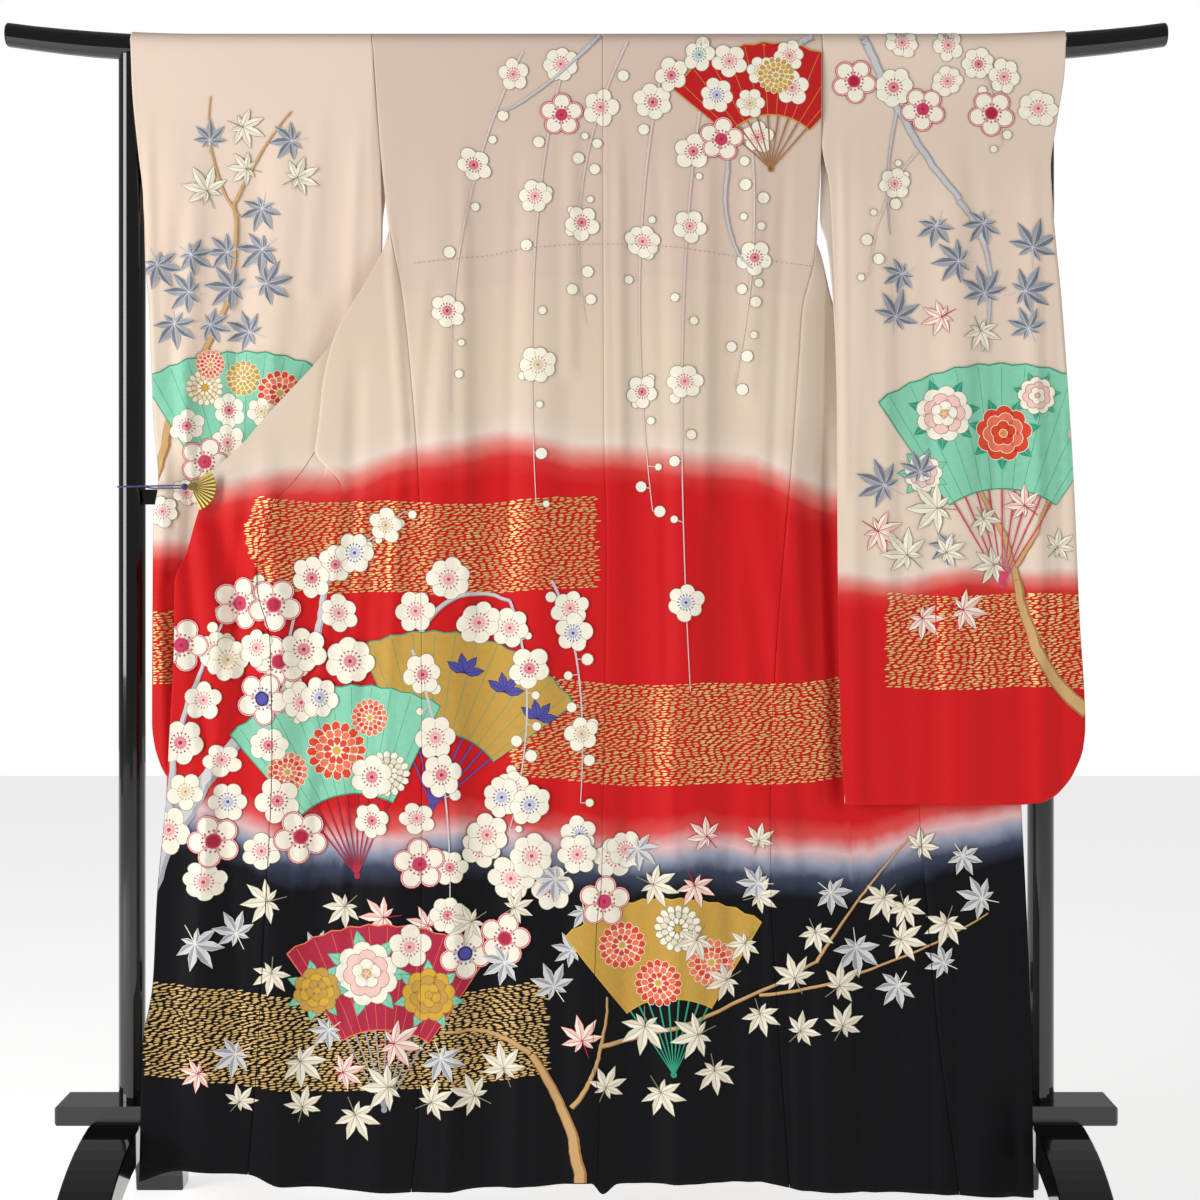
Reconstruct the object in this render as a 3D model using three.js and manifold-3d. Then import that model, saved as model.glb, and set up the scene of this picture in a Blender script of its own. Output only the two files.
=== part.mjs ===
// A furisode kimono spread over a lacquered kimono stand, seen from the back of the garment.
// Millimetres. +X runs along the stand, +Y away from the viewer, +Z up.
// The origin is on the floor, under the middle of the stand.
import * as THREE from "three";
import { mergeVertices } from "three/addons/utils/BufferGeometryUtils.js";
import Module from "manifold-3d";

const wasm = await Module();
wasm.setup();

// ---------- driving sizes ----------
const TOP = 1780;                 // top of the cloth where it passes over the rail
const WALL = 2;                   // cloth and lining together
const SEAM = 0.3;                 // gap between pieces that are sewn together
const SAFE_SEAM = 0.6;            // gap along the curved side seams
const RAIL = { radius: 19.2, length: 1700, rise: 21, riseFrom: 560, endRadius: 17.7, ease: 2.5 };
const DRAPE = 20.9;               // from the rail's centre to the middle of the cloth wall
const RAIL_Z = TOP - WALL / 2 - DRAPE;
const POST = { radius: 19.5, x: 666, saddle: 12 };
const MIDDLE = { z: 1101, height: 22, depth: 18, tenon: 4.5 };
const BOARD = { length: 1540, depth: 92, top: 218, thick: 28, bevel: 3 };
const FOOT = { x: 683, width: 75, reach: 362, rise: 192, innerReach: 310, innerRise: 142, bevel: 2 };
const TOUCH = 0.3;                // gap between hard pieces that meet
const LEAN = { most: 42, length: 480 };   // how far the hanging cloth comes forward of the rail
const PLEAT = 2.5;                // half the spacing of a pleat's layers
const HEM_FROM = 1540;            // below this drop the rows follow the wavy hem
const SET_BACK = 16;              // how far the right front steps back behind the right sleeve
const COLLAR = { width: 55, neckLap: 3.4, lap: 5 };
const SLEEVE_END = 1123;          // lower end of the sleeves
const FIRST_DROP = 22;            // first row that hangs free below the rail

// ---------- tables: places across the stand (x) at drops below TOP ----------
const rows = (names, values) => values.map((row) =>
  Object.fromEntries(names.split(" ").map((name, i) => [name, row[i]])));

const BACK = {
  left: rows("drop side", [
    [0, -312.5], [162, -300], [248, -291], [311, -281], [381, -267], [484, -255], [633, -243],
    [742, -239], [1096, -236], [1583, -242], [1700, -254],
  ]),
  right: rows("drop side", [
    [0, 344], [158, 342], [278, 335], [329, 331], [411, 312], [471, 308], [633, 296],
    [771, 284], [919, 273], [1081, 266], [1235, 266], [1400, 274], [1595, 287], [1700, 294],
  ]),
};
const CENTRE = rows("drop x", [
  [0, 24], [574, 26], [757, 30], [919, 28], [1235, 22], [1300, 15], [1489, 10], [1554, 19], [1700, 15],
]);
const HEM = rows("x drop", [
  [-650, 1668], [-584, 1651], [-486, 1656], [-439, 1673], [-380, 1676], [-260, 1681], [-81, 1672],
  [7, 1667], [24, 1683], [45, 1670], [108, 1669], [244, 1667], [321, 1679], [538, 1685], [660, 1690],
]);
// edge of the front with the collar: taut from the neck, then down the overlap panel
const FREE_EDGE = {
  left: rows("drop x", [
    [20, -65], [110, -130], [170, -172], [240, -224], [311, -284], [342, -298], [411, -346],
    [449, -365], [568, -469], [607, -502], [652, -548], [693, -558], [761, -578], [803, -594],
    [902, -595], [1038, -602], [1105, -605], [1264, -619], [1383, -625], [1471, -639], [1700, -644],
  ]),
  right: rows("drop x", [
    [20, 114], [110, 178], [170, 220], [240, 270], [329, 334], [400, 356], [470, 395], [560, 452],
    [660, 522], [760, 583], [807, 603], [974, 618], [1126, 630], [1400, 640], [1700, 645],
  ]),
};
const OVERLAP_SEAM = {
  left: rows("drop x", [
    [204, -196], [311, -258], [380, -275], [449, -300], [516, -330], [568, -362], [612, -391],
    [658, -422], [686, -449], [777, -474], [809, -474], [886, -455], [1051, -452], [1264, -461],
    [1442, -471], [1700, -488],
  ]),
  right: rows("drop x", [
    [204, 243], [329, 306], [380, 322], [449, 345], [516, 375], [568, 398], [612, 420], [658, 440],
    [777, 466], [886, 474], [1126, 482], [1324, 496], [1440, 505], [1700, 540],
  ]),
};
// the slack of each opened front lies in one pleat: its outer fold (ridge) and inner fold (pocket)
const SLACK = {
  left: rows("drop ridge push pocket", [
    [22, -262, 0, -120], [60, -265, 0, -80], [110, -268, 0, -105], [170, -272, 0, -125],
    [240, -272, 1.5, -150], [280, -281, 4, -162], [311, -288, 4, -170], [360, -312, 0, -190],
    [449, -362, 0, -250], [516, -378, 0, -300], [568, -383, 0, -345], [612, -389, 0, -378],
  ]),
  right: rows("drop ridge push pocket", [
    [22, 292, 0, 172], [60, 294, 0, 128], [110, 298, 0, 152], [170, 304, 0, 175],
    [240, 316, 0, 200], [298, 327, 4, 218], [329, 338, 4, 225], [380, 350, 0, 250],
    [449, 371, 0, 300], [516, 385, 0, 345], [568, 393, 0, 378], [612, 405, 0, 398],
  ]),
};
const SLEEVE = {
  left: {
    outer: rows("drop x", [
      [0, -665], [84, -662], [178, -653], [240, -646], [342, -643], [411, -637], [568, -631],
      [657, -624], [712, -631], [1009, -632], [1037, -629], [1068, -620], [1090, -607],
      [1107, -591], [1119, -567], [1123, -552],
    ]),
    inner: rows("drop x", [[0, -312.8], [162, -300.8], [264, -298], [539, -300], [1123, -304]]),
    rearOuter: rows("drop x", [[0, -665], [22, -665], [60, -650], [85, -641], [240, -641], [1123, -641]]),
    rearInner: rows("drop x", [
      [0, -312.8], [60, -309.5], [110, -305.5], [170, -300.6], [240, -294], [280, -298], [539, -300],
      [1123, -304],
    ]),
    sewnFrom: 250,
  },
  right: {
    outer: rows("drop x", [
      [0, 700], [63, 697], [134, 685], [205, 674], [240, 675], [309, 680], [387, 687], [490, 694],
      [645, 703], [852, 711], [1009, 719], [1041, 716], [1076, 703], [1102, 685], [1118, 660],
      [1123, 631],
    ]),
    inner: rows("drop x", [
      [0, 344.3], [158, 345], [235, 353], [322, 357], [438, 361], [836, 363], [1057, 368], [1123, 373],
    ]),
    rearOuter: rows("drop x", [
      [0, 700], [22, 700], [60, 676], [85, 640], [185, 640], [240, 675], [1123, 675],
    ]),
    rearInner: rows("drop x", [
      [0, 344.6], [158, 343], [278, 340], [311, 349], [380, 356.5], [460, 361], [1123, 373],
    ]),
    sewnFrom: 245,
  },
};

// soft folds: they run from (x0, drop0) to (x1, drop1); a height above 0 is a ridge towards the viewer
const FOLD_COLUMNS = "x0 drop0 x1 drop1 half height";
const BODY_FOLDS = rows(FOLD_COLUMNS, [
  [-215, 60, -205, 1800, 46, 7], [-130, 40, -150, 1800, 50, -8], [-60, 50, -75, 1800, 46, 7],
  [70, 40, 85, 1800, 42, -6], [135, 60, 150, 1800, 50, 8], [215, 60, 205, 1800, 46, -7],
  [-240, 700, -300, 1800, 52, 9], [-380, 640, -390, 1800, 55, -9], [-455, 600, -445, 1800, 42, 6],
  [-520, 690, -500, 1050, 34, -9], [-545, 900, -545, 1800, 46, 8], [-600, 1200, -600, 1800, 42, -5],
  [0, 900, 0, 1800, 48, 8], [345, 1120, 355, 1800, 44, 8], [430, 1120, 450, 1800, 48, -7],
  [560, 1120, 580, 1800, 52, 8],
]);
const SLEEVE_FOLDS = {
  left: rows(FOLD_COLUMNS, [
    [-600, 60, -590, 640, 40, 4], [-520, 60, -550, 640, 42, -3], [-440, 50, -470, 620, 46, 4],
    [-360, 50, -370, 900, 40, -2], [-590, 700, -580, 1300, 36, -4], [-480, 700, -480, 1300, 50, 4],
  ]),
  right: rows(FOLD_COLUMNS, [
    [400, 50, 395, 1300, 40, 6], [465, 60, 470, 1300, 42, -4], [535, 50, 545, 1300, 44, 7],
    [610, 60, 618, 1300, 42, -4],
  ]),
};

// drops of the rows of every hanging panel, so that neighbours share their rows along a seam
const DROPS = {
  left: [22, 60, 110, 170, 240, 280, 311, 360, 410, 460, 516, 568, 612, 645, 680, 740, 820, 910, 1010,
    1130, 1260, 1400, 1540, 1680],
  right: [22, 60, 110, 170, 240, 298, 329, 380, 420, 460, 516, 568, 612, 645, 680, 740, 820, 910, 1010,
    1130, 1260, 1400, 1540, 1680],
};
const SLEEVE_DROPS = {
  left: [22, 60, 85, 110, 170, 240, 311, 410, 516, 612, 660, 740, 860, 1009, 1060, 1090, 1110],
  right: [22, 60, 85, 110, 170, 205, 240, 311, 410, 516, 645, 780, 910, 1009, 1060, 1090, 1110],
};
const LAST_DROP = DROPS.left[DROPS.left.length - 1];
const ARMHOLE = { left: 311, right: 329 };
const OVERLAP_TOP = 204;
const CREST_ANGLES = [-67.5, -45, -22.5, 0, 22.5, 45, 67.5];
const NECK_ANGLE = 22.5;          // the neck opening starts this far past the top of the rail

// ---------- small numeric helpers ----------
const mix = (a, b, t) => a + (b - a) * t;
const ramp = (from, to, value) => {
  const t = Math.min(1, Math.max(0, (value - from) / (to - from)));
  return t * t * (3 - 2 * t);
};
const radians = THREE.MathUtils.degToRad;

// a smooth curve through the rows of a table, which never swings past its points
function track(table, column, by = "drop") {
  const at = table.map((row) => row[by]);
  const value = table.map((row) => row[column]);
  const step = at.slice(1).map((a, i) => (value[i + 1] - value[i]) / (a - at[i]));
  const slope = at.map((_, i) => {
    if (i === 0) return step[0];
    if (i === at.length - 1) return step[i - 1];
    return step[i - 1] * step[i] <= 0 ? 0 : (2 * step[i - 1] * step[i]) / (step[i - 1] + step[i]);
  });
  return (where) => {
    const w = Math.min(at[at.length - 1], Math.max(at[0], where));
    let i = 0;
    while (i < at.length - 2 && w > at[i + 1]) i += 1;
    const span = at[i + 1] - at[i];
    const t = (w - at[i]) / span;
    const rest = 1 - t;
    return rest * rest * (1 + 2 * t) * value[i] + t * t * (3 - 2 * t) * value[i + 1]
      + span * t * rest * (rest * slope[i] - t * slope[i + 1]);
  };
}

const sides = ["left", "right"];
const bySide = (make) => Object.fromEntries(sides.map((side) => [side, make(side)]));
const outward = { left: -1, right: 1 };
const sideSeam = bySide((side) => track(BACK[side], "side"));
const centreSeam = track(CENTRE, "x");
const hemDrop = track(HEM, "drop", "x");
const freeEdge = bySide((side) => track(FREE_EDGE[side], "x"));
const overlapSeam = bySide((side) => track(OVERLAP_SEAM[side], "x"));
const ridgeAt = bySide((side) => track(SLACK[side], "ridge"));
const pushAt = bySide((side) => track(SLACK[side], "push"));
const pocketAt = bySide((side) => track(SLACK[side], "pocket"));

// ---------- how the cloth hangs ----------
function railRise(x) {
  const past = Math.max(0, Math.abs(x) - RAIL.riseFrom) / (RAIL.length / 2 - RAIL.riseFrom);
  return RAIL.rise * past ** 2;
}
const settle = (drop) => 1 - Math.exp(-Math.max(0, drop - FIRST_DROP) / LEAN.length);
const lean = (drop) => LEAN.most * settle(drop) / settle(LAST_DROP);

function foldDepth(folds, x, drop) {
  return folds.reduce((sum, fold) => {
    const t = (drop - fold.drop0) / (fold.drop1 - fold.drop0);
    const centre = mix(fold.x0, fold.x1, t);
    const across = Math.min(1, Math.abs(x - centre) / fold.half);
    if (t <= 0 || t >= 1 || across === 1) return sum;
    const grow = ramp(0, 0.3, t) * (1 - ramp(0.92, 1, t));
    return sum - fold.height * grow * (0.5 + 0.5 * Math.cos(Math.PI * across));
  }, 0);
}
const clearOfRail = (drop) => ramp(45, 240, drop);
const bodyFolds = (x, drop) => foldDepth(BODY_FOLDS, x, drop) * clearOfRail(drop);
const nearDepth = (x, drop) => -DRAPE - lean(drop) + bodyFolds(x, drop);

function height(x, drop) {
  const raise = railRise(x) * (1 - ramp(FIRST_DROP, 240, drop));
  const low = drop <= HEM_FROM ? drop
    : HEM_FROM + (drop - HEM_FROM) * (hemDrop(x) - HEM_FROM) / (LAST_DROP - HEM_FROM);
  return TOP - low + raise;
}
const onRail = (x, angle, radius = DRAPE) => new THREE.Vector3(
  x, radius * Math.sin(radians(angle)), RAIL_Z + railRise(x) + radius * Math.cos(radians(angle)));
const hung = (x, y, drop) => new THREE.Vector3(x, y, height(x, drop));

// the front starts behind the rail, comes forward under it and lies level with the back at the side seam
function frontDepth(side, x, drop) {
  const forward = ramp(45, ARMHOLE[side], drop);
  const past = outward[side] * (x - sideSeam[side](drop));
  const back = side === "right" ? SET_BACK * ramp(0, 60, past) * (1 - ramp(1135, 1500, drop)) : 0;
  return mix(DRAPE, nearDepth(x, drop) + back, forward);
}
// a pleat's fold turns over in two steps of 90 degrees: as the cloth comes forward, and as the pleat ends
const pleatEnds = (drop) => ramp(612, 680, drop);
const ridgeTurn = (side, drop) => 90 * (ramp(ARMHOLE[side] - 71, ARMHOLE[side], drop) + pleatEnds(drop));
const pocketTurn = (drop) => 90 * (ramp(FIRST_DROP, 60, drop) + pleatEnds(drop));
const turned = (degrees) => PLEAT * Math.sin(radians(degrees));
const rearLayer = (side, x, drop) => frontDepth(side, x, drop) + pushAt[side](drop)
  + 2 * turned(ridgeTurn(side, drop)) + 2 * turned(pocketTurn(drop));

// ---------- solids ----------
function meshGeometry(points, faces) {
  const geometry = new THREE.BufferGeometry();
  const numbers = points.flatMap((p) => [p.x, p.y, p.z]);
  geometry.setAttribute("position", new THREE.Float32BufferAttribute(numbers, 3));
  geometry.setIndex(faces.flat());
  return geometry;
}

// gives a sheet of four-sided cells its thickness, WALL, and closes it along every free edge
function thicken(points, cells, wall = WALL) {
  const normals = points.map(() => new THREE.Vector3());
  for (const [a, b, c, d] of cells) {
    const one = points[c].clone().sub(points[a]);
    const two = points[d].clone().sub(points[b]);
    const normal = one.cross(two).normalize();
    [a, b, c, d].forEach((i) => normals[i].add(normal));
  }
  normals.forEach((normal) => normal.normalize());
  const shift = (sign) => points.map((p, i) => p.clone().addScaledVector(normals[i], sign * wall / 2));
  const count = points.length;
  const faces = [];
  const edges = new Map();
  for (const [a, b, c, d] of cells) {
    faces.push([a, b, c], [a, c, d], [a + count, c + count, b + count], [a + count, d + count, c + count]);
    [[a, b], [b, c], [c, d], [d, a]].forEach(([from, to]) => edges.set(`${from} ${to}`, [from, to]));
  }
  for (const [from, to] of edges.values()) {
    if (!edges.has(`${to} ${from}`)) {
      faces.push([to, from, from + count], [to, from + count, to + count]);
    }
  }
  return meshGeometry([...shift(1), ...shift(-1)], faces);
}

// a sheet from a grid: grid[row][column]; flip turns its outside round
function sheetFromGrid(grid, flip = false) {
  const width = grid[0].length;
  const cells = [];
  for (let r = 0; r + 1 < grid.length; r += 1) {
    for (let c = 0; c + 1 < width; c += 1) {
      const corner = [r * width + c, r * width + c + 1, (r + 1) * width + c + 1, (r + 1) * width + c];
      cells.push(flip ? corner.reverse() : corner);
    }
  }
  return thicken(grid.flat(), cells);
}

// joins rings of points into one closed solid
function loft(rings) {
  const size = rings[0].length;
  const faces = [];
  for (let r = 0; r + 1 < rings.length; r += 1) {
    for (let i = 0; i < size; i += 1) {
      const a = r * size + i;
      const b = r * size + (i + 1) % size;
      faces.push([a, b, b + size], [a, b + size, a + size]);
    }
  }
  const last = (rings.length - 1) * size;
  for (let i = 1; i + 1 < size; i += 1) faces.push([0, i + 1, i], [last, last + i, last + i + 1]);
  return meshGeometry(rings.flat(), faces);
}

function toManifold(geometry) {
  const bare = geometry.clone();
  bare.deleteAttribute("normal");
  bare.deleteAttribute("uv");
  const merged = mergeVertices(bare, 1e-4);
  return new wasm.Manifold(new wasm.Mesh({
    numProp: 3,
    vertProperties: new Float32Array(merged.attributes.position.array),
    triVerts: new Uint32Array(merged.index.array),
  }));
}
function fromManifold(solid) {
  const mesh = solid.getMesh();
  const geometry = new THREE.BufferGeometry();
  geometry.setAttribute("position", new THREE.BufferAttribute(new Float32Array(mesh.vertProperties), 3));
  geometry.setIndex(new THREE.BufferAttribute(new Uint32Array(mesh.triVerts), 1));
  return geometry;
}

// ---------- garment ----------
const RUNS = { visible: 6, under: 3, last: 3 };   // cells in each stretch of an opened front

// points from one place to the next, without the first one
const stretch = (from, to, cells) => Array.from({ length: cells }, (_, i) =>
  [mix(from[0], to[0], (i + 1) / cells), mix(from[1], to[1], (i + 1) / cells)]);

// one row of an opened front: across from the side seam, round the ridge and the pocket, to its inner edge
function frontRow(side, drop) {
  const out = outward[side];
  const start = sideSeam[side](drop) + out * mix(0, 1.5, ramp(170, 280, drop));
  const end = drop < OVERLAP_TOP ? freeEdge[side](drop) : overlapSeam[side](drop) - out * SEAM / 2;
  const open = pleatEnds(drop);
  const ridge = mix(ridgeAt[side](drop), mix(start, end, 0.55), open);
  const pocket = mix(pocketAt[side](drop), mix(start, end, 0.8), open);
  const stepOf = (degrees) => [-out * PLEAT * Math.cos(radians(degrees)), turned(degrees)];
  const ridgeStep = stepOf(ridgeTurn(side, drop));
  const pocketStep = stepOf(pocketTurn(drop));
  const ridgeY = ridgeStep[1] + pushAt[side](drop);
  const pocketY = ridgeY + ridgeStep[1] + pocketStep[1];
  const ridgeIn = [ridge - ridgeStep[0], ridgeY - ridgeStep[1]];
  const ridgeOut = [ridge + ridgeStep[0], ridgeY + ridgeStep[1]];
  const pocketIn = [pocket - pocketStep[0], pocketY - pocketStep[1]];
  const pocketOut = [pocket + pocketStep[0], pocketY + pocketStep[1]];
  const section = [
    [start, 0],
    ...stretch([start, 0], ridgeIn, RUNS.visible),
    [ridge + out * ridgeStep[1], ridgeY],
    ridgeOut,
    ...stretch(ridgeOut, pocketIn, RUNS.under),
    [pocket - out * pocketStep[1], pocketY],
    pocketOut,
    ...stretch(pocketOut, [end, pocketY + pocketStep[1]], RUNS.last),
  ];
  return section.map(([x, layer]) => hung(x, frontDepth(side, x, drop) + layer, drop));
}
const PANEL_CELLS = RUNS.visible + RUNS.under + RUNS.last + 4;

const evenly = (from, to, cells) => Array.from({ length: cells + 1 }, (_, i) => mix(from, to, i / cells));

function bodyPanel(side) {
  const out = outward[side];
  const drops = DROPS[side];
  const across = (drop, middle) => evenly(sideSeam[side](drop), middle, PANEL_CELLS);
  const middleAt = (drop) => centreSeam(drop) + out * SEAM / 2;
  const back = [...drops].reverse().map((drop) =>
    across(drop, middleAt(drop)).map((x) => hung(x, nearDepth(x, drop), drop)));
  const neckEdge = (angle) => mix(middleAt(0), freeEdge[side](0), ramp(NECK_ANGLE, 90, angle));
  const crest = CREST_ANGLES.map((angle) => across(0, neckEdge(angle)).map((x) => onRail(x, angle)));
  const front = drops.map((drop) => frontRow(side, drop));
  return sheetFromGrid([...back, ...crest, ...front], side === "left");
}

function overlapPanel(side) {
  const out = outward[side];
  const cells = 4;
  const tip = (drop) => ramp(OVERLAP_TOP - 1, OVERLAP_TOP + 30, drop);
  const drops = [OVERLAP_TOP + 14, ...DROPS[side].filter((drop) => drop > OVERLAP_TOP + 14)];
  return sheetFromGrid(drops.map((drop) => {
    const seam = overlapSeam[side](drop) + out * SAFE_SEAM;
    const edge = Math.max(out * freeEdge[side](drop), out * seam + 6) * out;
    return evenly(seam, mix(seam + out * 6, edge, tip(drop)), cells)
      .map((x) => hung(x, rearLayer(side, x, drop), drop));
  }), side === "left");
}

// The collar runs up one free edge, round the back of the neck behind the rail, and down the other.
// Its line is kept as x and the length of cloth from the top of the rail.
const ARC = DRAPE * Math.PI / 2;
const NECK_LINE = rows("x length", [
  [-52, 38], [-36, 25], [-10, 15.5], [24, 12.6], [58, 15.5], [84, 25], [100, 38],
]);
const NOTCH_DROP = 803;           // lower end of the collar

function behind(side, x, length) {
  if (length < ARC) return onRail(x, 90 * length / ARC, DRAPE + COLLAR.neckLap);
  const drop = FIRST_DROP + length - ARC;
  return hung(x, rearLayer(side, x, drop) + mix(COLLAR.neckLap, COLLAR.lap, ramp(60, 200, drop)), drop);
}

function collarBand() {
  const drops = (side) => DROPS[side].filter((drop) => drop > 30 && drop < NOTCH_DROP - 30);
  const edgeLine = (side) => [...drops(side), NOTCH_DROP]
    .map((drop) => ({ side, x: freeEdge[side](drop), length: drop - FIRST_DROP + ARC }));
  const neck = NECK_LINE.map((row) => ({ side: row.x < CENTRE[0].x ? "left" : "right", ...row }));
  const line = [...edgeLine("left").reverse(), ...neck, ...edgeLine("right")];
  return sheetFromGrid(line.map((here, i) => {
    const before = line[Math.max(0, i - 1)];
    const after = line[Math.min(line.length - 1, i + 1)];
    const along = new THREE.Vector2(after.x - before.x, after.length - before.length).normalize();
    return evenly(0, COLLAR.width, 3).map((reach) =>
      behind(here.side, here.x - along.y * reach, here.length + along.x * reach));
  }));
}

// A sleeve is one strip folded over the rail. Its layers are sewn below the cuff and along the bottom.
const SLEEVE_CELLS = 11;
const SLEEVE_BAG = {
  left: {
    front: (drop) => -DRAPE + 2.5 * ramp(60, 300, drop) - 10 * ramp(400, 1100, drop),
    gap: 9.5, gapLow: 13, rearFrom: 60, rearTo: 250,
  },
  right: {
    front: (drop) => mix(-DRAPE, -DRAPE - lean(drop) - 5, ramp(FIRST_DROP, 250, drop)),
    gap: 11, gapLow: 11, rearFrom: 75, rearTo: 205,
  },
};

function sleeveBag(side) {
  const table = SLEEVE[side];
  const bag = SLEEVE_BAG[side];
  const edge = Object.fromEntries(
    ["outer", "inner", "rearOuter", "rearInner"].map((name) => [name, track(table[name], "x")]));
  const drops = SLEEVE_DROPS[side];
  const besideBody = (drop) => sideSeam[side](drop) + outward[side] * SAFE_SEAM;
  const alongBody = (drop, free = 0) => mix(besideBody(drop), free, ramp(150, 220, drop));
  const sewn = (drop) => drop >= table.sewnFrom;
  const folds = (x, drop) => foldDepth(SLEEVE_FOLDS[side], x, drop) * clearOfRail(drop);
  const frontY = (x, drop) => bag.front(drop) + folds(x, drop);
  const gap = (drop) => mix(bag.gap, bag.gapLow, ramp(700, 900, drop));
  const forward = (drop) => ramp(bag.rearFrom, bag.rearTo, drop);
  const rearY = (x, drop) => mix(DRAPE, frontY(x, drop) + gap(drop), forward(drop));

  const points = [];
  const addRow = (row) => row.map((point) => points.push(point) - 1);
  const turnIn = (drop) => (sewn(drop) ? outward[side] * gap(drop) / 2 : 0);
  const frontEdge = (drop) => edge.outer(drop) - turnIn(drop);
  const frontRowAt = (drop) => evenly(alongBody(drop, edge.inner(drop)), frontEdge(drop), SLEEVE_CELLS)
    .map((x) => hung(x, frontY(x, drop), drop));
  const rearEdge = (drop) => (sewn(drop) ? frontEdge(drop) : edge.rearOuter(drop));
  const rearRowAt = (drop) => evenly(alongBody(drop, edge.rearInner(drop)), rearEdge(drop), SLEEVE_CELLS)
    .map((x) => hung(x, rearY(x, drop), drop));

  const frontRows = [...drops].reverse().map((drop) => addRow(frontRowAt(drop)));
  const crestRows = CREST_ANGLES.map((angle) =>
    addRow(evenly(alongBody(0), edge.outer(0), SLEEVE_CELLS).map((x) => onRail(x, angle))));
  const rearRows = drops.map((drop) => addRow(rearRowAt(drop)));
  const strip = [...frontRows, ...crestRows, ...rearRows];
  const cells = [];
  for (let r = 0; r + 1 < strip.length; r += 1) {
    for (let c = 0; c < SLEEVE_CELLS; c += 1) {
      cells.push([strip[r][c], strip[r][c + 1], strip[r + 1][c + 1], strip[r + 1][c]]);
    }
  }

  // the sewn outer edge and the sewn bottom, each a fold halfway between the layers
  const halfway = (x, drop) => hung(x, (frontY(x, drop) + rearY(x, drop)) / 2, drop);
  const sewnDrops = drops.filter(sewn);
  const outerFold = sewnDrops.map((drop) => points.push(halfway(edge.outer(drop), drop)) - 1);
  const frontOf = (drop) => frontRows[drops.length - 1 - drops.indexOf(drop)];
  const rearOf = (drop) => rearRows[drops.indexOf(drop)];
  for (let i = 0; i + 1 < sewnDrops.length; i += 1) {
    const [upper, lower] = [sewnDrops[i], sewnDrops[i + 1]];
    const [fold, foldAbove] = [outerFold[i + 1], outerFold[i]];
    cells.push([frontOf(lower)[SLEEVE_CELLS], fold, foldAbove, frontOf(upper)[SLEEVE_CELLS]]);
    cells.push([fold, rearOf(lower)[SLEEVE_CELLS], rearOf(upper)[SLEEVE_CELLS], foldAbove]);
  }
  const lowest = drops[drops.length - 1];
  const bottom = addRow(evenly(edge.inner(SLEEVE_END), edge.outer(SLEEVE_END), SLEEVE_CELLS)
    .map((x) => halfway(x, SLEEVE_END)));
  const corner = outerFold[outerFold.length - 1];
  for (let c = 0; c < SLEEVE_CELLS; c += 1) {
    cells.push([bottom[c], bottom[c + 1], frontOf(lowest)[c + 1], frontOf(lowest)[c]]);
    cells.push([rearOf(lowest)[c], rearOf(lowest)[c + 1], bottom[c + 1], bottom[c]]);
  }
  const last = bottom[SLEEVE_CELLS];
  cells.push([last, corner, corner, frontOf(lowest)[SLEEVE_CELLS]]);
  cells.push([rearOf(lowest)[SLEEVE_CELLS], corner, corner, last]);
  return thickenMixed(points, cells, side === "left");
}

// cells may be three-sided, written with their repeated corner twice
function thickenMixed(points, cells, flip) {
  const turnedCells = cells.map((cell) => (flip ? [...cell].reverse() : cell));
  const geometry = thicken(points, turnedCells);
  const index = Array.from(geometry.index.array);
  const kept = [];
  for (let i = 0; i < index.length; i += 3) {
    const [a, b, c] = index.slice(i, i + 3);
    if (a !== b && b !== c && c !== a) kept.push(a, b, c);
  }
  geometry.setIndex(kept);
  return geometry;
}

// ---------- stand ----------
const ring = (count, place) => Array.from({ length: count }, (_, i) => place((2 * Math.PI * i) / count));
const ringAlongX = (x, z, radius, count = 20) => ring(count, (a) =>
  new THREE.Vector3(x, radius * Math.cos(a), z + radius * Math.sin(a)));
const ringAlongZ = (x, z, radius, count = 24) => ring(count, (a) =>
  new THREE.Vector3(x + radius * Math.cos(a), radius * Math.sin(a), z));

function topRail() {
  const half = RAIL.length / 2;
  const stations = [0, RAIL.riseFrom, 600, 640, 680, 720, 765, 810, half - RAIL.ease];
  const radiusAt = (x) => mix(RAIL.radius, RAIL.endRadius, ramp(700, half, x));
  const halfRings = stations.map((x) => [x, radiusAt(x)]);
  halfRings.push([half, radiusAt(half) - RAIL.ease]);
  const all = [...halfRings.slice(1).reverse().map(([x, r]) => [-x, r]), ...halfRings];
  return loft(all.map(([x, r]) => ringAlongX(x, RAIL_Z + railRise(x), r)));
}

function post(side) {
  const x = outward[side] * POST.x;
  const top = RAIL_Z + railRise(x) - POST.saddle;
  const shaft = loft([ringAlongZ(x, BOARD.top + TOUCH, POST.radius), ringAlongZ(x, top, POST.radius)]);
  const bed = loft(evenly(x - 2 * POST.radius, x + 2 * POST.radius, 4)
    .map((at) => ringAlongX(at, RAIL_Z + railRise(at), RAIL.radius + TOUCH, 40)));
  return fromManifold(toManifold(shaft).subtract(toManifold(bed)));
}

function middleRail() {
  const length = 2 * (POST.x - POST.radius + MIDDLE.tenon);
  const bar = new THREE.BoxGeometry(length, MIDDLE.depth, MIDDLE.height).translate(0, 0, MIDDLE.z);
  const clear = sides.map((side) => toManifold(loft([MIDDLE.z - MIDDLE.height, MIDDLE.z + MIDDLE.height]
    .map((z) => ringAlongZ(outward[side] * POST.x, z, POST.radius + TOUCH)))));
  return fromManifold(toManifold(bar).subtract(clear[0]).subtract(clear[1]));
}

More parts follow.
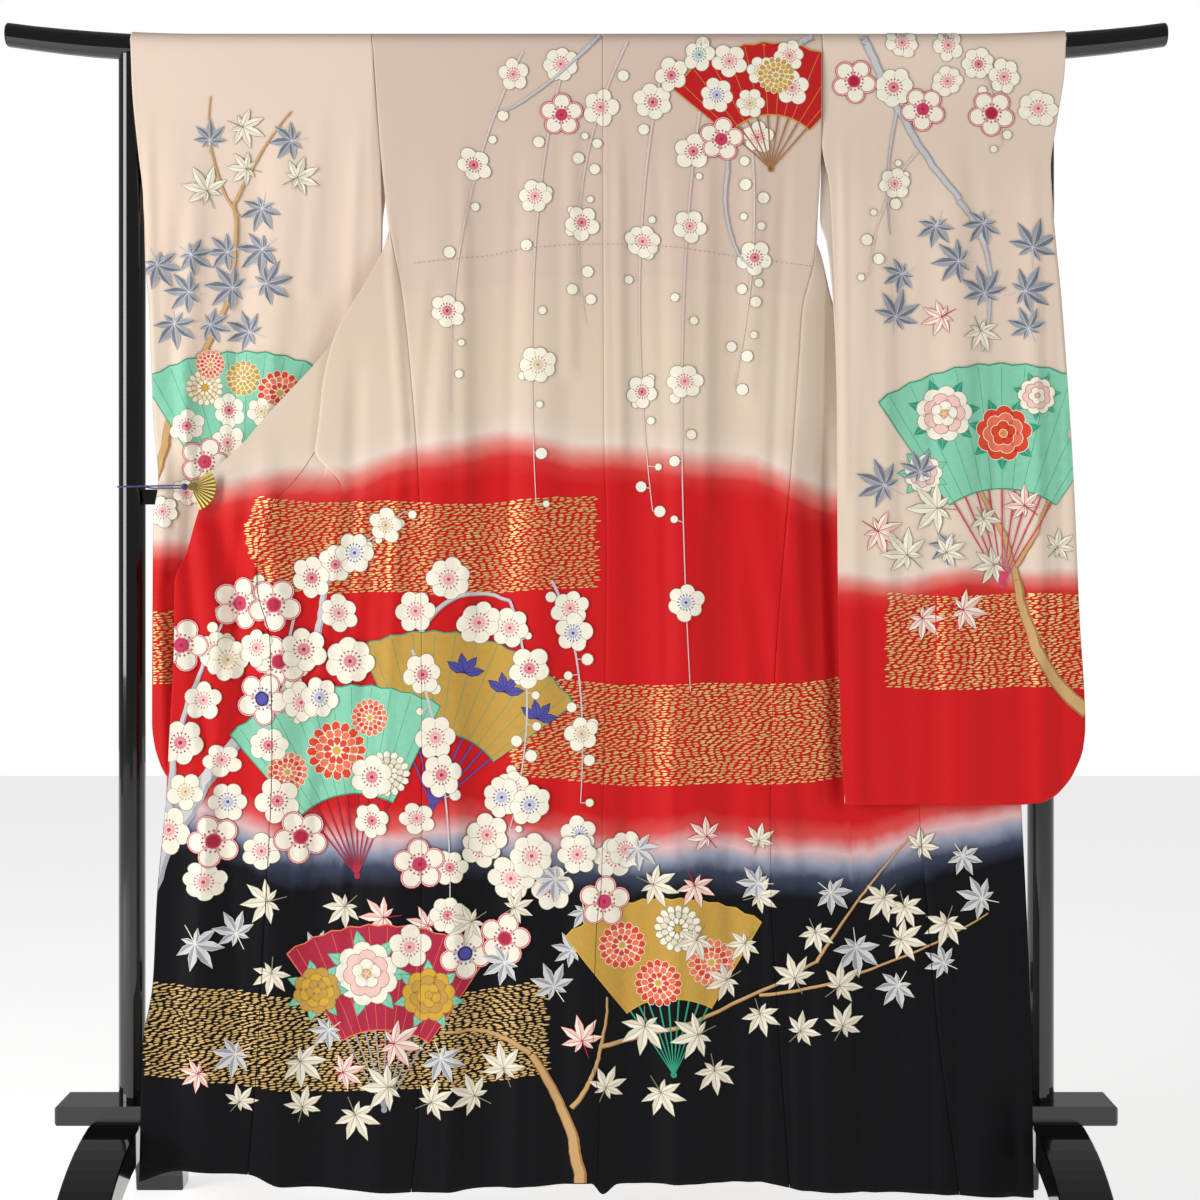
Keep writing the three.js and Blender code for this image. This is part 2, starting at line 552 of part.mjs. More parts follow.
function bevelledPrism(outline, depth, bevel) {
  return new THREE.ExtrudeGeometry(outline, {
    depth: depth - 2 * bevel,
    bevelEnabled: true,
    bevelThickness: bevel,
    bevelSize: bevel,
    bevelOffset: -bevel,
    bevelSegments: 1,
    curveSegments: 9,
  }).translate(0, 0, bevel);
}

function baseBoard() {
  const half = BOARD.depth / 2;
  const outline = new THREE.Shape([[-half, 0], [half, 0], [half, BOARD.thick], [-half, BOARD.thick]]
    .map(([y, z]) => new THREE.Vector2(y, z)));
  return bevelledPrism(outline, BOARD.length, BOARD.bevel)
    .rotateX(Math.PI / 2).rotateZ(Math.PI / 2)
    .translate(-BOARD.length / 2, 0, BOARD.top - BOARD.thick);
}

// an arched plank: half an ellipse outside and inside, cut level where it carries the board
function foot(side) {
  const level = BOARD.top - BOARD.thick - TOUCH;
  const cut = FOOT.reach * Math.sqrt(1 - (level / FOOT.rise) ** 2);
  const angle = Math.acos(cut / FOOT.reach);
  const outline = new THREE.Shape();
  outline.moveTo(FOOT.reach, 0);
  outline.absellipse(0, 0, FOOT.reach, FOOT.rise, 0, angle, false);
  outline.lineTo(-cut, level);
  outline.absellipse(0, 0, FOOT.reach, FOOT.rise, Math.PI - angle, Math.PI, false);
  outline.lineTo(-FOOT.innerReach, 0);
  outline.absellipse(0, 0, FOOT.innerReach, FOOT.innerRise, Math.PI, 0, true);
  return bevelledPrism(outline, FOOT.width, FOOT.bevel)
    .rotateX(Math.PI / 2).rotateZ(Math.PI / 2)
    .translate(outward[side] * FOOT.x - FOOT.width / 2, 0, 0);
}

// ---------- clip and cord that hold the left front open ----------
const CLIP = {
  x: -570, z: TOP - 665,          // the fan's root
  root: 9, radius: 36,            // the pleated leaf starts and ends this far from it
  from: -69, to: 42, ribs: 11,    // degrees that the leaf spans
  pleat: 1.6, plate: 2, clear: 2.6,
  barrel: 5,
  strap: { length: 16, width: 10, thick: 1.8, sunk: 1.1 },
  jaw: { length: 33, width: 14, thick: 1.8, clear: 2.8 },
};
const HELD = { x: -548, drop: 665 };              // middle of the folded cloth in the clip
const HELD_FACE = rearLayer("left", HELD.x, HELD.drop) - WALL / 2;
const HELD_BACK = rearLayer("left", HELD.x, HELD.drop) + COLLAR.lap + WALL / 2;

function fanClip() {
  const { strap, jaw } = CLIP;
  const root = HELD_FACE - CLIP.clear - CLIP.plate - 2 * CLIP.pleat;
  const end = HELD_BACK + jaw.clear + jaw.thick;
  const rings = evenly(CLIP.from, CLIP.to, 2 * CLIP.ribs).map((degrees, i) => {
    const along = new THREE.Vector3(Math.cos(radians(degrees)), 0, Math.sin(radians(degrees)));
    const at = (radius, y) => new THREE.Vector3(CLIP.x, y, CLIP.z).addScaledVector(along, radius);
    const face = root + (i % 2 ? 0 : CLIP.pleat);
    return [
      at(CLIP.root, root + 1), at(CLIP.radius, face),
      at(CLIP.radius, face + CLIP.plate), at(CLIP.root, root + 1 + CLIP.plate),
    ];
  });
  const bar = ({ length, width, thick }, y) => toManifold(new THREE.BoxGeometry(length, thick, width)
    .translate(CLIP.x + length / 2, y + thick / 2, CLIP.z));
  const barrel = toManifold(new THREE.CylinderGeometry(CLIP.barrel, CLIP.barrel, end - root, 16)
    .translate(CLIP.x, (end + root) / 2, CLIP.z));
  return fromManifold(toManifold(loft(rings)).add(barrel)
    .add(bar(jaw, HELD_BACK + jaw.clear)).add(bar(strap, root + strap.sunk)));
}

const CORD = { radius: 1.2, sides: 6, steps: 34, knot: 5.5, loop: POST.radius + 2, lift: 0.8, spread: 1.9 };
const KNOT = new THREE.Vector3(CLIP.x - CLIP.barrel - CORD.knot - 0.4, HELD_FACE + 4, CLIP.z);
const SLEEVE_FACE = SLEEVE_BAG.left.front(HELD.drop) - WALL / 2;

// two strands from the knot, in front of the sleeve and once round the left post
function cordLoop() {
  const around = evenly(-100, -380, 12).map((degrees) => new THREE.Vector3(
    CORD.loop * Math.cos(radians(degrees)) - POST.x,
    CORD.loop * Math.sin(radians(degrees)),
    KNOT.z + CORD.lift));
  const clear = SLEEVE_FACE - 4;
  const strand = (lift) => [
    new THREE.Vector3(KNOT.x - CORD.knot - 0.6, KNOT.y, KNOT.z + lift),
    new THREE.Vector3(KNOT.x - 25, mix(KNOT.y, clear, 0.5), KNOT.z + lift),
    new THREE.Vector3(CORD.loop - POST.x + 12.5, clear, KNOT.z + lift * 0.8),
  ];
  const path = new THREE.CatmullRomCurve3(
    [...strand(CORD.spread), ...around, ...strand(-CORD.spread).reverse()], false, "centripetal");
  const frames = path.computeFrenetFrames(CORD.steps, false);
  return loft(evenly(0, 1, CORD.steps).map((t, i) => ring(CORD.sides, (a) => path.getPointAt(t)
    .addScaledVector(frames.normals[i], CORD.radius * Math.cos(a))
    .addScaledVector(frames.binormals[i], CORD.radius * Math.sin(a)))));
}

const cordKnot = () => new THREE.SphereGeometry(CORD.knot, 12, 8).scale(1, 0.8, 0.9)
  .translate(KNOT.x, KNOT.y, KNOT.z);

// ---------- the scene graph ----------
const MATERIALS = {
  silk: new THREE.MeshStandardMaterial({ color: "#dcc3b4", roughness: 0.6, metalness: 0 }),
  lacquer: new THREE.MeshStandardMaterial({ color: "#0b0b0d", roughness: 0.15, metalness: 0 }),
  brass: new THREE.MeshStandardMaterial({ color: "#c8a951", roughness: 0.35, metalness: 1 }),
  cord: new THREE.MeshStandardMaterial({ color: "#3a2a78", roughness: 0.8, metalness: 0 }),
};

const group = new THREE.Group();
function add(name, geometry, material) {
  const mesh = new THREE.Mesh(geometry, MATERIALS[material].clone());
  mesh.name = name;
  group.add(mesh);
}

for (const side of sides) {
  add(`body_${side}`, bodyPanel(side), "silk");
  add(`okumi_${side}`, overlapPanel(side), "silk");
  add(`sleeve_${side}`, sleeveBag(side), "silk");
  add(`post_${side}`, post(side), "lacquer");
  add(`foot_${side}`, foot(side), "lacquer");
}
add("collar", collarBand(), "silk");
add("rail", topRail(), "lacquer");
add("middle_rail", middleRail(), "lacquer");
add("base_board", baseBoard(), "lacquer");
add("clip", fanClip(), "brass");
add("cord", cordLoop(), "cord");
add("cord_knot", cordKnot(), "cord");

export default group;
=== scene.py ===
"""A furisode kimono spread over a black lacquered kimono stand, seen from the back of the garment.

Lengths in the tables are millimetres. x runs along the stand, drop is the distance below the top
of the cloth, and depth is y. They become metres when a mesh is made.
"""

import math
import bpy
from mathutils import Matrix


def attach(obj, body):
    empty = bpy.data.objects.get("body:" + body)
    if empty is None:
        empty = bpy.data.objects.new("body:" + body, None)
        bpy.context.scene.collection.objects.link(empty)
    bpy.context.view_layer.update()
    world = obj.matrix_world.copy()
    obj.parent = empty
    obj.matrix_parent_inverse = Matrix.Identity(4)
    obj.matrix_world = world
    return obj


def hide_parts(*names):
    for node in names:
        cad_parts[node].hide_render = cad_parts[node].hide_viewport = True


bl_info = {
    "name": "Furisode kimono on its stand",
    "version": (1, 0, 0),
    "blender": (4, 5, 0),
    "location": "View3D > Sidebar > Kimono",
    "description": "Drapes a dyed silk furisode over a lacquered stand, with its fan clip and cord",
    "category": "Object",
}

import bpy
import numpy as np

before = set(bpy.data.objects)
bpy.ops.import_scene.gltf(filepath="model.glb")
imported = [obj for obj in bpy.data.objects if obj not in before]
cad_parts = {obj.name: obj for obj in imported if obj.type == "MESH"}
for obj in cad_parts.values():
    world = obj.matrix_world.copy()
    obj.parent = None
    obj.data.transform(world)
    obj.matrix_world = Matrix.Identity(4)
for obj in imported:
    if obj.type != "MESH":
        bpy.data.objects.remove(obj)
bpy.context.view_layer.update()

MM = 0.001
SIDES = ("left", "right")
OUT = {"left": -1, "right": 1}

# ---------- sizes shared with the solids ----------
TOP = 1780
WALL = 2
SEAM = 0.3
SAFE_SEAM = 0.6
RAIL_LENGTH = 1700
RAIL_RISE = 21
RISE_FROM = 560
DRAPE = 20.9
RAIL_Z = TOP - WALL / 2 - DRAPE
LEAN = 42
LEAN_LENGTH = 480
PLEAT = 2.5
# the drops where the pleats start to open and where they lie flat
PLEAT_OPENS = (612, 680)
FIRST_DROP = 22
LAST_DROP = 1680
HEM_FROM = 1540
# from this drop down the cloth hangs clear of the rail
RAIL_EASE = 240
SET_BACK = 16
SLEEVE_END = 1123
OVERLAP_TOP = 204
NOTCH_DROP = 803
ARMHOLE = {"left": 311, "right": 329}
COLLAR_WIDTH = 55
NECK_LAP = 3.4
COLLAR_LAP = 5


# ---------- numbers ----------
def table(names, *rows):
    """Rows of numbers under named columns."""
    return dict(zip(names.split(), np.array(rows, float).T))


def ramp(low, high, value):
    """A smooth step from 0 at low to 1 at high."""
    t = np.clip((np.asarray(value, float) - low) / (high - low), 0, 1)
    return t * t * (3 - 2 * t)


def mix(a, b, t):
    return a + (b - a) * t


def linear(colour):
    """An sRGB hex colour as linear red, green, blue and alpha."""
    parts = [int(colour[i:i + 2], 16) / 255 for i in (1, 3, 5)]
    return tuple(c / 12.92 if c <= 0.04045 else ((c + 0.055) / 1.055) ** 2.4 for c in parts) + (1.0,)


def curve(rows, name, by="drop"):
    """A smooth curve through a column of a table, which never swings past its points."""
    at, value = rows[by], rows[name]
    step = np.diff(value) / np.diff(at)
    before, after = step[:-1], step[1:]
    total = np.where(before + after == 0, 1, before + after)
    inner = np.where(before * after <= 0, 0, 2 * before * after / total)
    slope = np.concatenate([step[:1], inner, step[-1:]])

    def value_at(where):
        w = np.clip(np.asarray(where, float), at[0], at[-1])
        i = np.clip(np.searchsorted(at, w, side="left") - 1, 0, len(at) - 2)
        span = at[i + 1] - at[i]
        t = (w - at[i]) / span
        rest = 1 - t
        ends = rest * rest * (1 + 2 * t) * value[i] + t * t * (3 - 2 * t) * value[i + 1]
        return ends + span * t * rest * (rest * slope[i] - t * slope[i + 1])

    return value_at


# ---------- the outline of the garment ----------
SIDE_SEAM = {
    "left": curve(table(
        "drop x", (0, -312.5), (162, -300), (248, -291), (311, -281), (381, -267), (484, -255),
        (633, -243), (742, -239), (1096, -236), (1583, -242), (1700, -254)), "x"),
    "right": curve(table(
        "drop x", (0, 344), (158, 342), (278, 335), (329, 331), (411, 312), (471, 308), (633, 296),
        (771, 284), (919, 273), (1081, 266), (1235, 266), (1400, 274), (1595, 287), (1700, 294)), "x"),
}
CENTRE_SEAM = curve(table(
    "drop x", (0, 24), (574, 26), (757, 30), (919, 28), (1235, 22), (1300, 15), (1489, 10),
    (1554, 19), (1700, 15)), "x")
HEM_DROP = curve(table(
    "x drop", (-650, 1668), (-584, 1651), (-486, 1656), (-439, 1673), (-380, 1676), (-260, 1681),
    (-81, 1672), (7, 1667), (24, 1683), (45, 1670), (108, 1669), (244, 1667), (321, 1679),
    (538, 1685), (660, 1690)), "drop", "x")
FREE_EDGE = {
    "left": curve(table(
        "drop x", (20, -65), (110, -130), (170, -172), (240, -224), (311, -284), (342, -298),
        (411, -346), (449, -365), (568, -469), (607, -502), (652, -548), (693, -558), (761, -578),
        (803, -594), (902, -595), (1038, -602), (1105, -605), (1264, -619), (1383, -625),
        (1471, -639), (1700, -644)), "x"),
    "right": curve(table(
        "drop x", (20, 114), (110, 178), (170, 220), (240, 270), (329, 334), (400, 356), (470, 395),
        (560, 452), (660, 522), (760, 583), (807, 603), (974, 618), (1126, 630), (1400, 640),
        (1700, 645)), "x"),
}
OVERLAP_SEAM = {
    "left": curve(table(
        "drop x", (204, -196), (311, -258), (380, -275), (449, -300), (516, -330), (568, -362),
        (612, -391), (658, -422), (686, -449), (777, -474), (809, -474), (886, -455),
        (1051, -452), (1264, -461), (1442, -471), (1700, -488)), "x"),
    "right": curve(table(
        "drop x", (204, 243), (329, 306), (380, 322), (449, 345), (516, 375), (568, 398),
        (612, 420), (658, 440), (777, 466), (886, 474), (1126, 482), (1324, 496), (1440, 505),
        (1700, 540)), "x"),
}
# each opened front keeps its slack in one pleat, from its outer fold (ridge) to its inner fold (pocket)
SLACK = {
    "left": table(
        "drop ridge push pocket", (22, -262, 0, -120), (60, -265, 0, -80), (110, -268, 0, -105),
        (170, -272, 0, -125), (240, -272, 1.5, -150), (280, -281, 4, -162), (311, -288, 4, -170),
        (360, -312, 0, -190), (449, -362, 0, -250), (516, -378, 0, -300), (568, -383, 0, -345),
        (612, -389, 0, -378)),
    "right": table(
        "drop ridge push pocket", (22, 292, 0, 172), (60, 294, 0, 128), (110, 298, 0, 152),
        (170, 304, 0, 175), (240, 316, 0, 200), (298, 327, 4, 218), (329, 338, 4, 225),
        (380, 350, 0, 250), (449, 371, 0, 300), (516, 385, 0, 345), (568, 393, 0, 378),
        (612, 405, 0, 398)),
}
RIDGE = {side: curve(SLACK[side], "ridge") for side in SIDES}
PUSH = {side: curve(SLACK[side], "push") for side in SIDES}
POCKET = {side: curve(SLACK[side], "pocket") for side in SIDES}
SLEEVE = {
    "left": {
        "outer": table(
            "drop x", (0, -665), (84, -662), (178, -653), (240, -646), (342, -643), (411, -637),
            (568, -631), (657, -624), (712, -631), (1009, -632), (1037, -629), (1068, -620),
            (1090, -607), (1107, -591), (1119, -567), (1123, -552)),
        "inner": table("drop x", (0, -312.8), (162, -300.8), (264, -298), (539, -300), (1123, -304)),
        "rear_outer": table(
            "drop x", (0, -665), (22, -665), (60, -650), (85, -641), (240, -641), (1123, -641)),
        "rear_inner": table(
            "drop x", (0, -312.8), (60, -309.5), (110, -305.5), (170, -300.6), (240, -294),
            (280, -298), (539, -300), (1123, -304)),
    },
    "right": {
        "outer": table(
            "drop x", (0, 700), (63, 697), (134, 685), (205, 674), (240, 675), (309, 680),
            (387, 687), (490, 694), (645, 703), (852, 711), (1009, 719), (1041, 716), (1076, 703),
            (1102, 685), (1118, 660), (1123, 631)),
        "inner": table(
            "drop x", (0, 344.3), (158, 345), (235, 353), (322, 357), (438, 361), (836, 363),
            (1057, 368), (1123, 373)),
        "rear_outer": table(
            "drop x", (0, 700), (22, 700), (60, 676), (85, 640), (185, 640), (240, 675), (1123, 675)),
        "rear_inner": table(
            "drop x", (0, 344.6), (158, 343), (278, 340), (311, 349), (380, 356.5), (460, 361),
            (1123, 373)),
    },
}
SLEEVE_EDGE = {side: {name: curve(rows, "x") for name, rows in SLEEVE[side].items()} for side in SIDES}
SLEEVE_SEWN = {"left": 250, "right": 245}

# folds run from (x0, drop0) to (x1, drop1); a height above 0 is a ridge towards the viewer
BODY_FOLDS = table(
    "x0 drop0 x1 drop1 half height",
    (-215, 60, -205, 1800, 46, 7), (-130, 40, -150, 1800, 50, -8), (-60, 50, -75, 1800, 46, 7),
    (70, 40, 85, 1800, 42, -6), (135, 60, 150, 1800, 50, 8), (215, 60, 205, 1800, 46, -7),
    (-240, 700, -300, 1800, 52, 9), (-380, 640, -390, 1800, 55, -9), (-455, 600, -445, 1800, 42, 6),
    (-520, 690, -500, 1050, 34, -9), (-545, 900, -545, 1800, 46, 8), (-600, 1200, -600, 1800, 42, -5),
    (0, 900, 0, 1800, 48, 8), (345, 1120, 355, 1800, 44, 8), (430, 1120, 450, 1800, 48, -7),
    (560, 1120, 580, 1800, 52, 8))
SLEEVE_FOLDS = {
    "left": table(
        "x0 drop0 x1 drop1 half height",
        (-600, 60, -590, 640, 40, 4), (-520, 60, -550, 640, 42, -3), (-440, 50, -470, 620, 46, 4),
        (-360, 50, -370, 900, 40, -2), (-590, 700, -580, 1300, 36, -4), (-480, 700, -480, 1300, 50, 4)),
    "right": table(
        "x0 drop0 x1 drop1 half height",
        (400, 50, 395, 1300, 40, 6), (465, 60, 470, 1300, 42, -4), (535, 50, 545, 1300, 44, 7),
        (610, 60, 618, 1300, 42, -4)),
}
# smaller creases, which only show in the shading
BODY_CREASES = table(
    "x0 drop0 x1 drop1 half height",
    (-288, 250, -262, 620, 14, 3.6), (-180, 70, -172, 900, 17, 3.9), (-98, 120, -112, 760, 15, -3.6),
    (-20, 60, -24, 520, 18, 3.6), (46, 90, 52, 640, 14, 2.9), (104, 60, 118, 980, 16, -3.9),
    (178, 80, 172, 720, 16, 4.2), (248, 90, 236, 560, 18, 3.6), (292, 120, 268, 700, 14, -2.9),
    (-262, 520, -300, 1250, 16, 4.7), (-300, 560, -352, 1500, 18, -4.7), (-352, 640, -420, 1300, 17, 4.7),
    (-440, 620, -520, 980, 14, 5.3), (-478, 600, -560, 1150, 14, -5.3), (-505, 640, -575, 1500, 16, 5.9),
    (-560, 560, -470, 1040, 28, -9), (-590, 600, -548, 1060, 18, -7), (-470, 560, -430, 960, 24, 6),
    (-540, 940, -500, 1500, 24, -5), (290, 560, 330, 1150, 24, 6), (345, 520, 372, 1150, 20, -6),
    (236, 700, 282, 1240, 26, -6), (-330, 430, -342, 900, 22, -5), (-214, 330, -236, 640, 20, -4),
    (-180, 900, -196, 1800, 21, 4.7), (-96, 1000, -104, 1800, 21, 4.7), (60, 980, 52, 1800, 21, -4.3),
    (122, 900, 130, 1800, 18, 4.7), (188, 1000, 196, 1800, 21, 4.7), (248, 940, 252, 1800, 18, -4.3),
    (300, 1120, 312, 1800, 16, 4.3), (392, 1120, 402, 1800, 18, -4.3), (505, 1120, 520, 1800, 21, 4.7),
    (610, 1120, 618, 1800, 18, -3.6))
SLEEVE_CREASES = {
    "left": table(
        "x0 drop0 x1 drop1 half height",
        (-640, 70, -628, 560, 13, 2.9), (-560, 90, -585, 640, 15, 3.9), (-480, 70, -520, 660, 15, -3.6),
        (-404, 80, -470, 600, 14, 3.6), (-330, 90, -352, 560, 14, 2.9), (-600, 380, -570, 690, 12, 4.2),
        (-625, 720, -600, 1300, 14, 3.6), (-540, 690, -530, 1300, 15, -3.6),
        (-566, 560, -592, 960, 20, -6), (-608, 470, -618, 820, 14, 4), (-590, 200, -612, 640, 18, -4.5),
        (-452, 60, -520, 560, 22, -5), (-380, 60, -410, 400, 18, 4)),
    "right": table(
        "x0 drop0 x1 drop1 half height",
        (372, 90, 374, 700, 10, 2.9), (430, 70, 436, 900, 14, 4.2), (498, 90, 505, 1300, 15, -3.9),
        (572, 70, 580, 860, 14, 4.2), (646, 100, 655, 1300, 16, 3.9), (470, 500, 480, 1300, 14, 3.6),
        (600, 600, 612, 1300, 14, 2.9), (682, 330, 690, 1300, 12, -2.9), (560, 60, 590, 900, 26, -5),
        (400, 400, 412, 1300, 22, -4.5), (640, 300, 668, 1300, 20, 4)),
}
FOLD_GROWS = (0, 0.3)
FOLD_ENDS = (0.92, 1)


def fold_depth(folds, x, drop):
    """How far a table's folds move the cloth, towards the viewer where negative."""
    x, drop = np.broadcast_arrays(np.asarray(x, float), np.asarray(drop, float))
    total = np.zeros(x.shape)
    for x0, drop0, x1, drop1, half, height in zip(*folds.values()):
        t = (drop - drop0) / (drop1 - drop0)
        across = np.abs(x - mix(x0, x1, t)) / half
        grow = ramp(*FOLD_GROWS, t) * (1 - ramp(*FOLD_ENDS, t))
        bump = 0.5 + 0.5 * np.cos(np.pi * np.minimum(across, 1))
        total -= np.where((t > 0) & (t < 1), height * grow * bump, 0)
    return total


# ---------- how the cloth hangs ----------
def rail_rise(x):
    past = np.maximum(0, np.abs(x) - RISE_FROM) / (RAIL_LENGTH / 2 - RISE_FROM)
    return RAIL_RISE * past ** 2


def settle(drop):
    return 1 - np.exp(-np.maximum(0, drop - FIRST_DROP) / LEAN_LENGTH)


def lean(drop):
    return LEAN * settle(drop) / settle(LAST_DROP)


def clear_of_rail(drop):
    """0 where the cloth bends over the rail, 1 where it hangs clear of it."""
    return ramp(45, RAIL_EASE, drop)


def near_depth(x, drop):
    folds = fold_depth(BODY_FOLDS, x, drop) + fold_depth(BODY_CREASES, x, drop)
    return -DRAPE - lean(drop) + folds * clear_of_rail(drop)


def hung(x, y, drop):
    """Points of cloth that hang at depth y; low rows follow the wavy hem."""
    x, y, drop = np.broadcast_arrays(*(np.asarray(v, float) for v in (x, y, drop)))
    reach = (HEM_DROP(x) - HEM_FROM) / (LAST_DROP - HEM_FROM)
    low = np.where(drop <= HEM_FROM, drop, HEM_FROM + (drop - HEM_FROM) * reach)
    raised = rail_rise(x) * (1 - ramp(FIRST_DROP, RAIL_EASE, drop))
    return np.stack([x, y, TOP - low + raised], -1)


def on_rail(x, degrees, radius=DRAPE):
    """Points of cloth on the rail, at an angle past its top towards the rear."""
    x, a = np.broadcast_arrays(np.asarray(x, float), np.radians(degrees))
    return np.stack([x, radius * np.sin(a), RAIL_Z + rail_rise(x) + radius * np.cos(a)], -1)


def set_back(side, x, drop):
    """The right front lies further back, behind the right sleeve."""
    if side == "left":
        return np.zeros(np.broadcast(x, drop).shape)
    past = x - SIDE_SEAM[side](drop)
    return SET_BACK * ramp(0, 60, past) * (1 - ramp(1135, 1500, drop))


def front_depth(side, x, drop):
    forward = ramp(45, ARMHOLE[side], drop)
    return mix(DRAPE, near_depth(x, drop) + set_back(side, x, drop), forward)


def pleat_ends(drop):
    return ramp(*PLEAT_OPENS, drop)


def ridge_turn(side, drop):
    return 90 * (ramp(ARMHOLE[side] - 71, ARMHOLE[side], drop) + pleat_ends(drop))


def pocket_turn(drop):
    return 90 * (ramp(FIRST_DROP, 60, drop) + pleat_ends(drop))


def turned(degrees):
    return PLEAT * np.sin(np.radians(degrees))


GROOVE_DEPTH = 0.9
GROOVE_REACH = 2.2
# the drops where a front's seam starts to dip and where it is plain
SEAM_SHOWS = (640, 700)


def rear_layer(side, x, drop):
    folded = 2 * turned(ridge_turn(side, drop)) + 2 * turned(pocket_turn(drop))
    return front_depth(side, x, drop) + PUSH[side](drop) + folded


def groove(distance):
    """The cloth dips beside a sewn seam."""
    return GROOVE_DEPTH * np.exp(-(distance / GROOVE_REACH) ** 2)


# ---------- meshes of cloth ----------
CELL = 8


def steps(start, end, cell=CELL):
    return np.linspace(start, end, max(2, round(abs(end - start) / cell)) + 1)


def crowded(cells, share=0.6):
    """Places from 0 to 1 that crowd towards both ends."""
    t = np.linspace(0, 1, cells + 1)
    return t - share * np.sin(2 * np.pi * t) / (2 * np.pi)


def grid_cells(rows, columns):
    """Four-sided cells of a grid of points."""
    corner = (np.arange(rows - 1)[:, None] * columns + np.arange(columns - 1)).reshape(-1, 1)
    return corner + np.array([0, 1, columns + 1, columns])


def unit(vectors):
    return vectors / np.maximum(np.linalg.norm(vectors, axis=-1, keepdims=True), 1e-9)


def make_mesh(name, points, faces):
    """An object from points in millimetres."""
    mesh = bpy.data.meshes.new(name)
    mesh.from_pydata((np.asarray(points) * MM).tolist(), [], np.asarray(faces).tolist())
    obj = bpy.data.objects.new(name, mesh)
    bpy.context.scene.collection.objects.link(obj)
    mesh.shade_smooth()
    return obj


def cloth_mesh(name, points, cells, cut, dye, wall):
    """A sheet of cells with its thickness: the dyed face, then the lining, then the closed edges.

    cut has each point's place on the flat piece, and dye where it lies in the bands of colour."""
    a, b, c, d = (points[cells[:, k]] for k in range(4))
    facing = unit(np.cross(c - a, d - b))
    normals = np.zeros_like(points)
    for k in range(4):
        np.add.at(normals, cells[:, k], facing)
    normals = unit(normals)
    count = len(points)
    start, end = cells.ravel(), np.roll(cells, -1, axis=1).ravel()
    free = ~np.isin(start * count + end, end * count + start)
    start, end = start[free], end[free]
    rim = np.stack([end, start, start + count, end + count], -1)
    shell = np.concatenate([points + normals * wall / 2, points - normals * wall / 2])
    obj = make_mesh(name, shell, np.concatenate([cells, cells[:, ::-1] + count, rim]))
    mesh = obj.data
    material = np.zeros(len(mesh.polygons), np.int32)
    material[len(cells):2 * len(cells)] = 1
    mesh.polygons.foreach_set("material_index", material)
    mesh.attributes.new("dye", "FLOAT", "POINT").data.foreach_set("value", np.tile(dye, 2))
    loops = np.zeros(len(mesh.loops), np.int32)
    mesh.loops.foreach_get("vertex_index", loops)
    places = np.tile(cut * MM, (2, 1))[loops]
    mesh.uv_layers.new(name="cut").data.foreach_set("uv", places.ravel())
    mesh.update()
    return obj


def path_length(grid):
    """Distance along the rows of a grid of points, from its first row."""
    stride = np.linalg.norm(np.diff(grid, axis=0), axis=-1)
    return np.concatenate([np.zeros((1, grid.shape[1])), np.cumsum(stride, 0)])


def flat_places(grid, across):
    """(across, along) on the flat cut for a grid of points."""
    along = path_length(grid).mean(1, keepdims=True)
    return np.stack([np.broadcast_to(across, grid.shape[:2]),
                     np.broadcast_to(along, grid.shape[:2])], -1).reshape(-1, 2)


# ---------- bands of colour ----------
# the height of the two shaded borders: cream to red, and red to black
BODY_BANDS = table(
    "x red black", (-650, 700, 1120), (-560, 690, 1140), (-440, 672, 1168), (-330, 650, 1180),
    (-240, 632, 1178), (-120, 622, 1170), (0, 624, 1186), (120, 634, 1196), (240, 660, 1192),
    (345, 690, 1196), (450, 700, 1188), (560, 700, 1162), (650, 700, 1140))
SLEEVE_BANDS = {"left": 760, "right": 800}
BANDS = {name: curve(BODY_BANDS, name, "x") for name in ("red", "black")}
# the dye's full range, how far its borders cloud, and where the sleeves start in it
DYE_RANGE = 3.2
CLOUDING = 0.16
SLEEVE_GROUND = 0.25


def waver(x):
    """A slow unevenness along a brushed border."""
    return 7 * np.sin(x / 61 + 0.6) + 4 * np.sin(x / 27 + 2)


def body_dye(x, drop):
    """0 at the pink top, 1 where it is cream, 2 in the red, 3 in the black."""
    red, black = BANDS["red"](x) + waver(x), BANDS["black"](x) + waver(x + 90)
    cream = ramp(250, 520, drop)
    return cream + ramp(red - 70, red + 66, drop) + ramp(black - 120, black + 105, drop)


def sleeve_dye(side, x, drop):
    red = SLEEVE_BANDS[side] + waver(x + 40)
    return SLEEVE_GROUND + 0.6 * ramp(330, 640, drop) + 1.15 * ramp(red - 62, red + 66, drop)


# ---------- panels ----------
VISIBLE, UNDER, LAST_RUN, ARC_CELLS = 30, 12, 14, 4
BODY_CELLS = VISIBLE + UNDER + LAST_RUN + 2 * ARC_CELLS
CREST = np.arange(-75, 76, 15)
NECK_ANGLE = 22.5
# widths of the flat cuts
BODY_WIDTH, OVERLAP_WIDTH, SLEEVE_WIDTH = 310, 150, 340


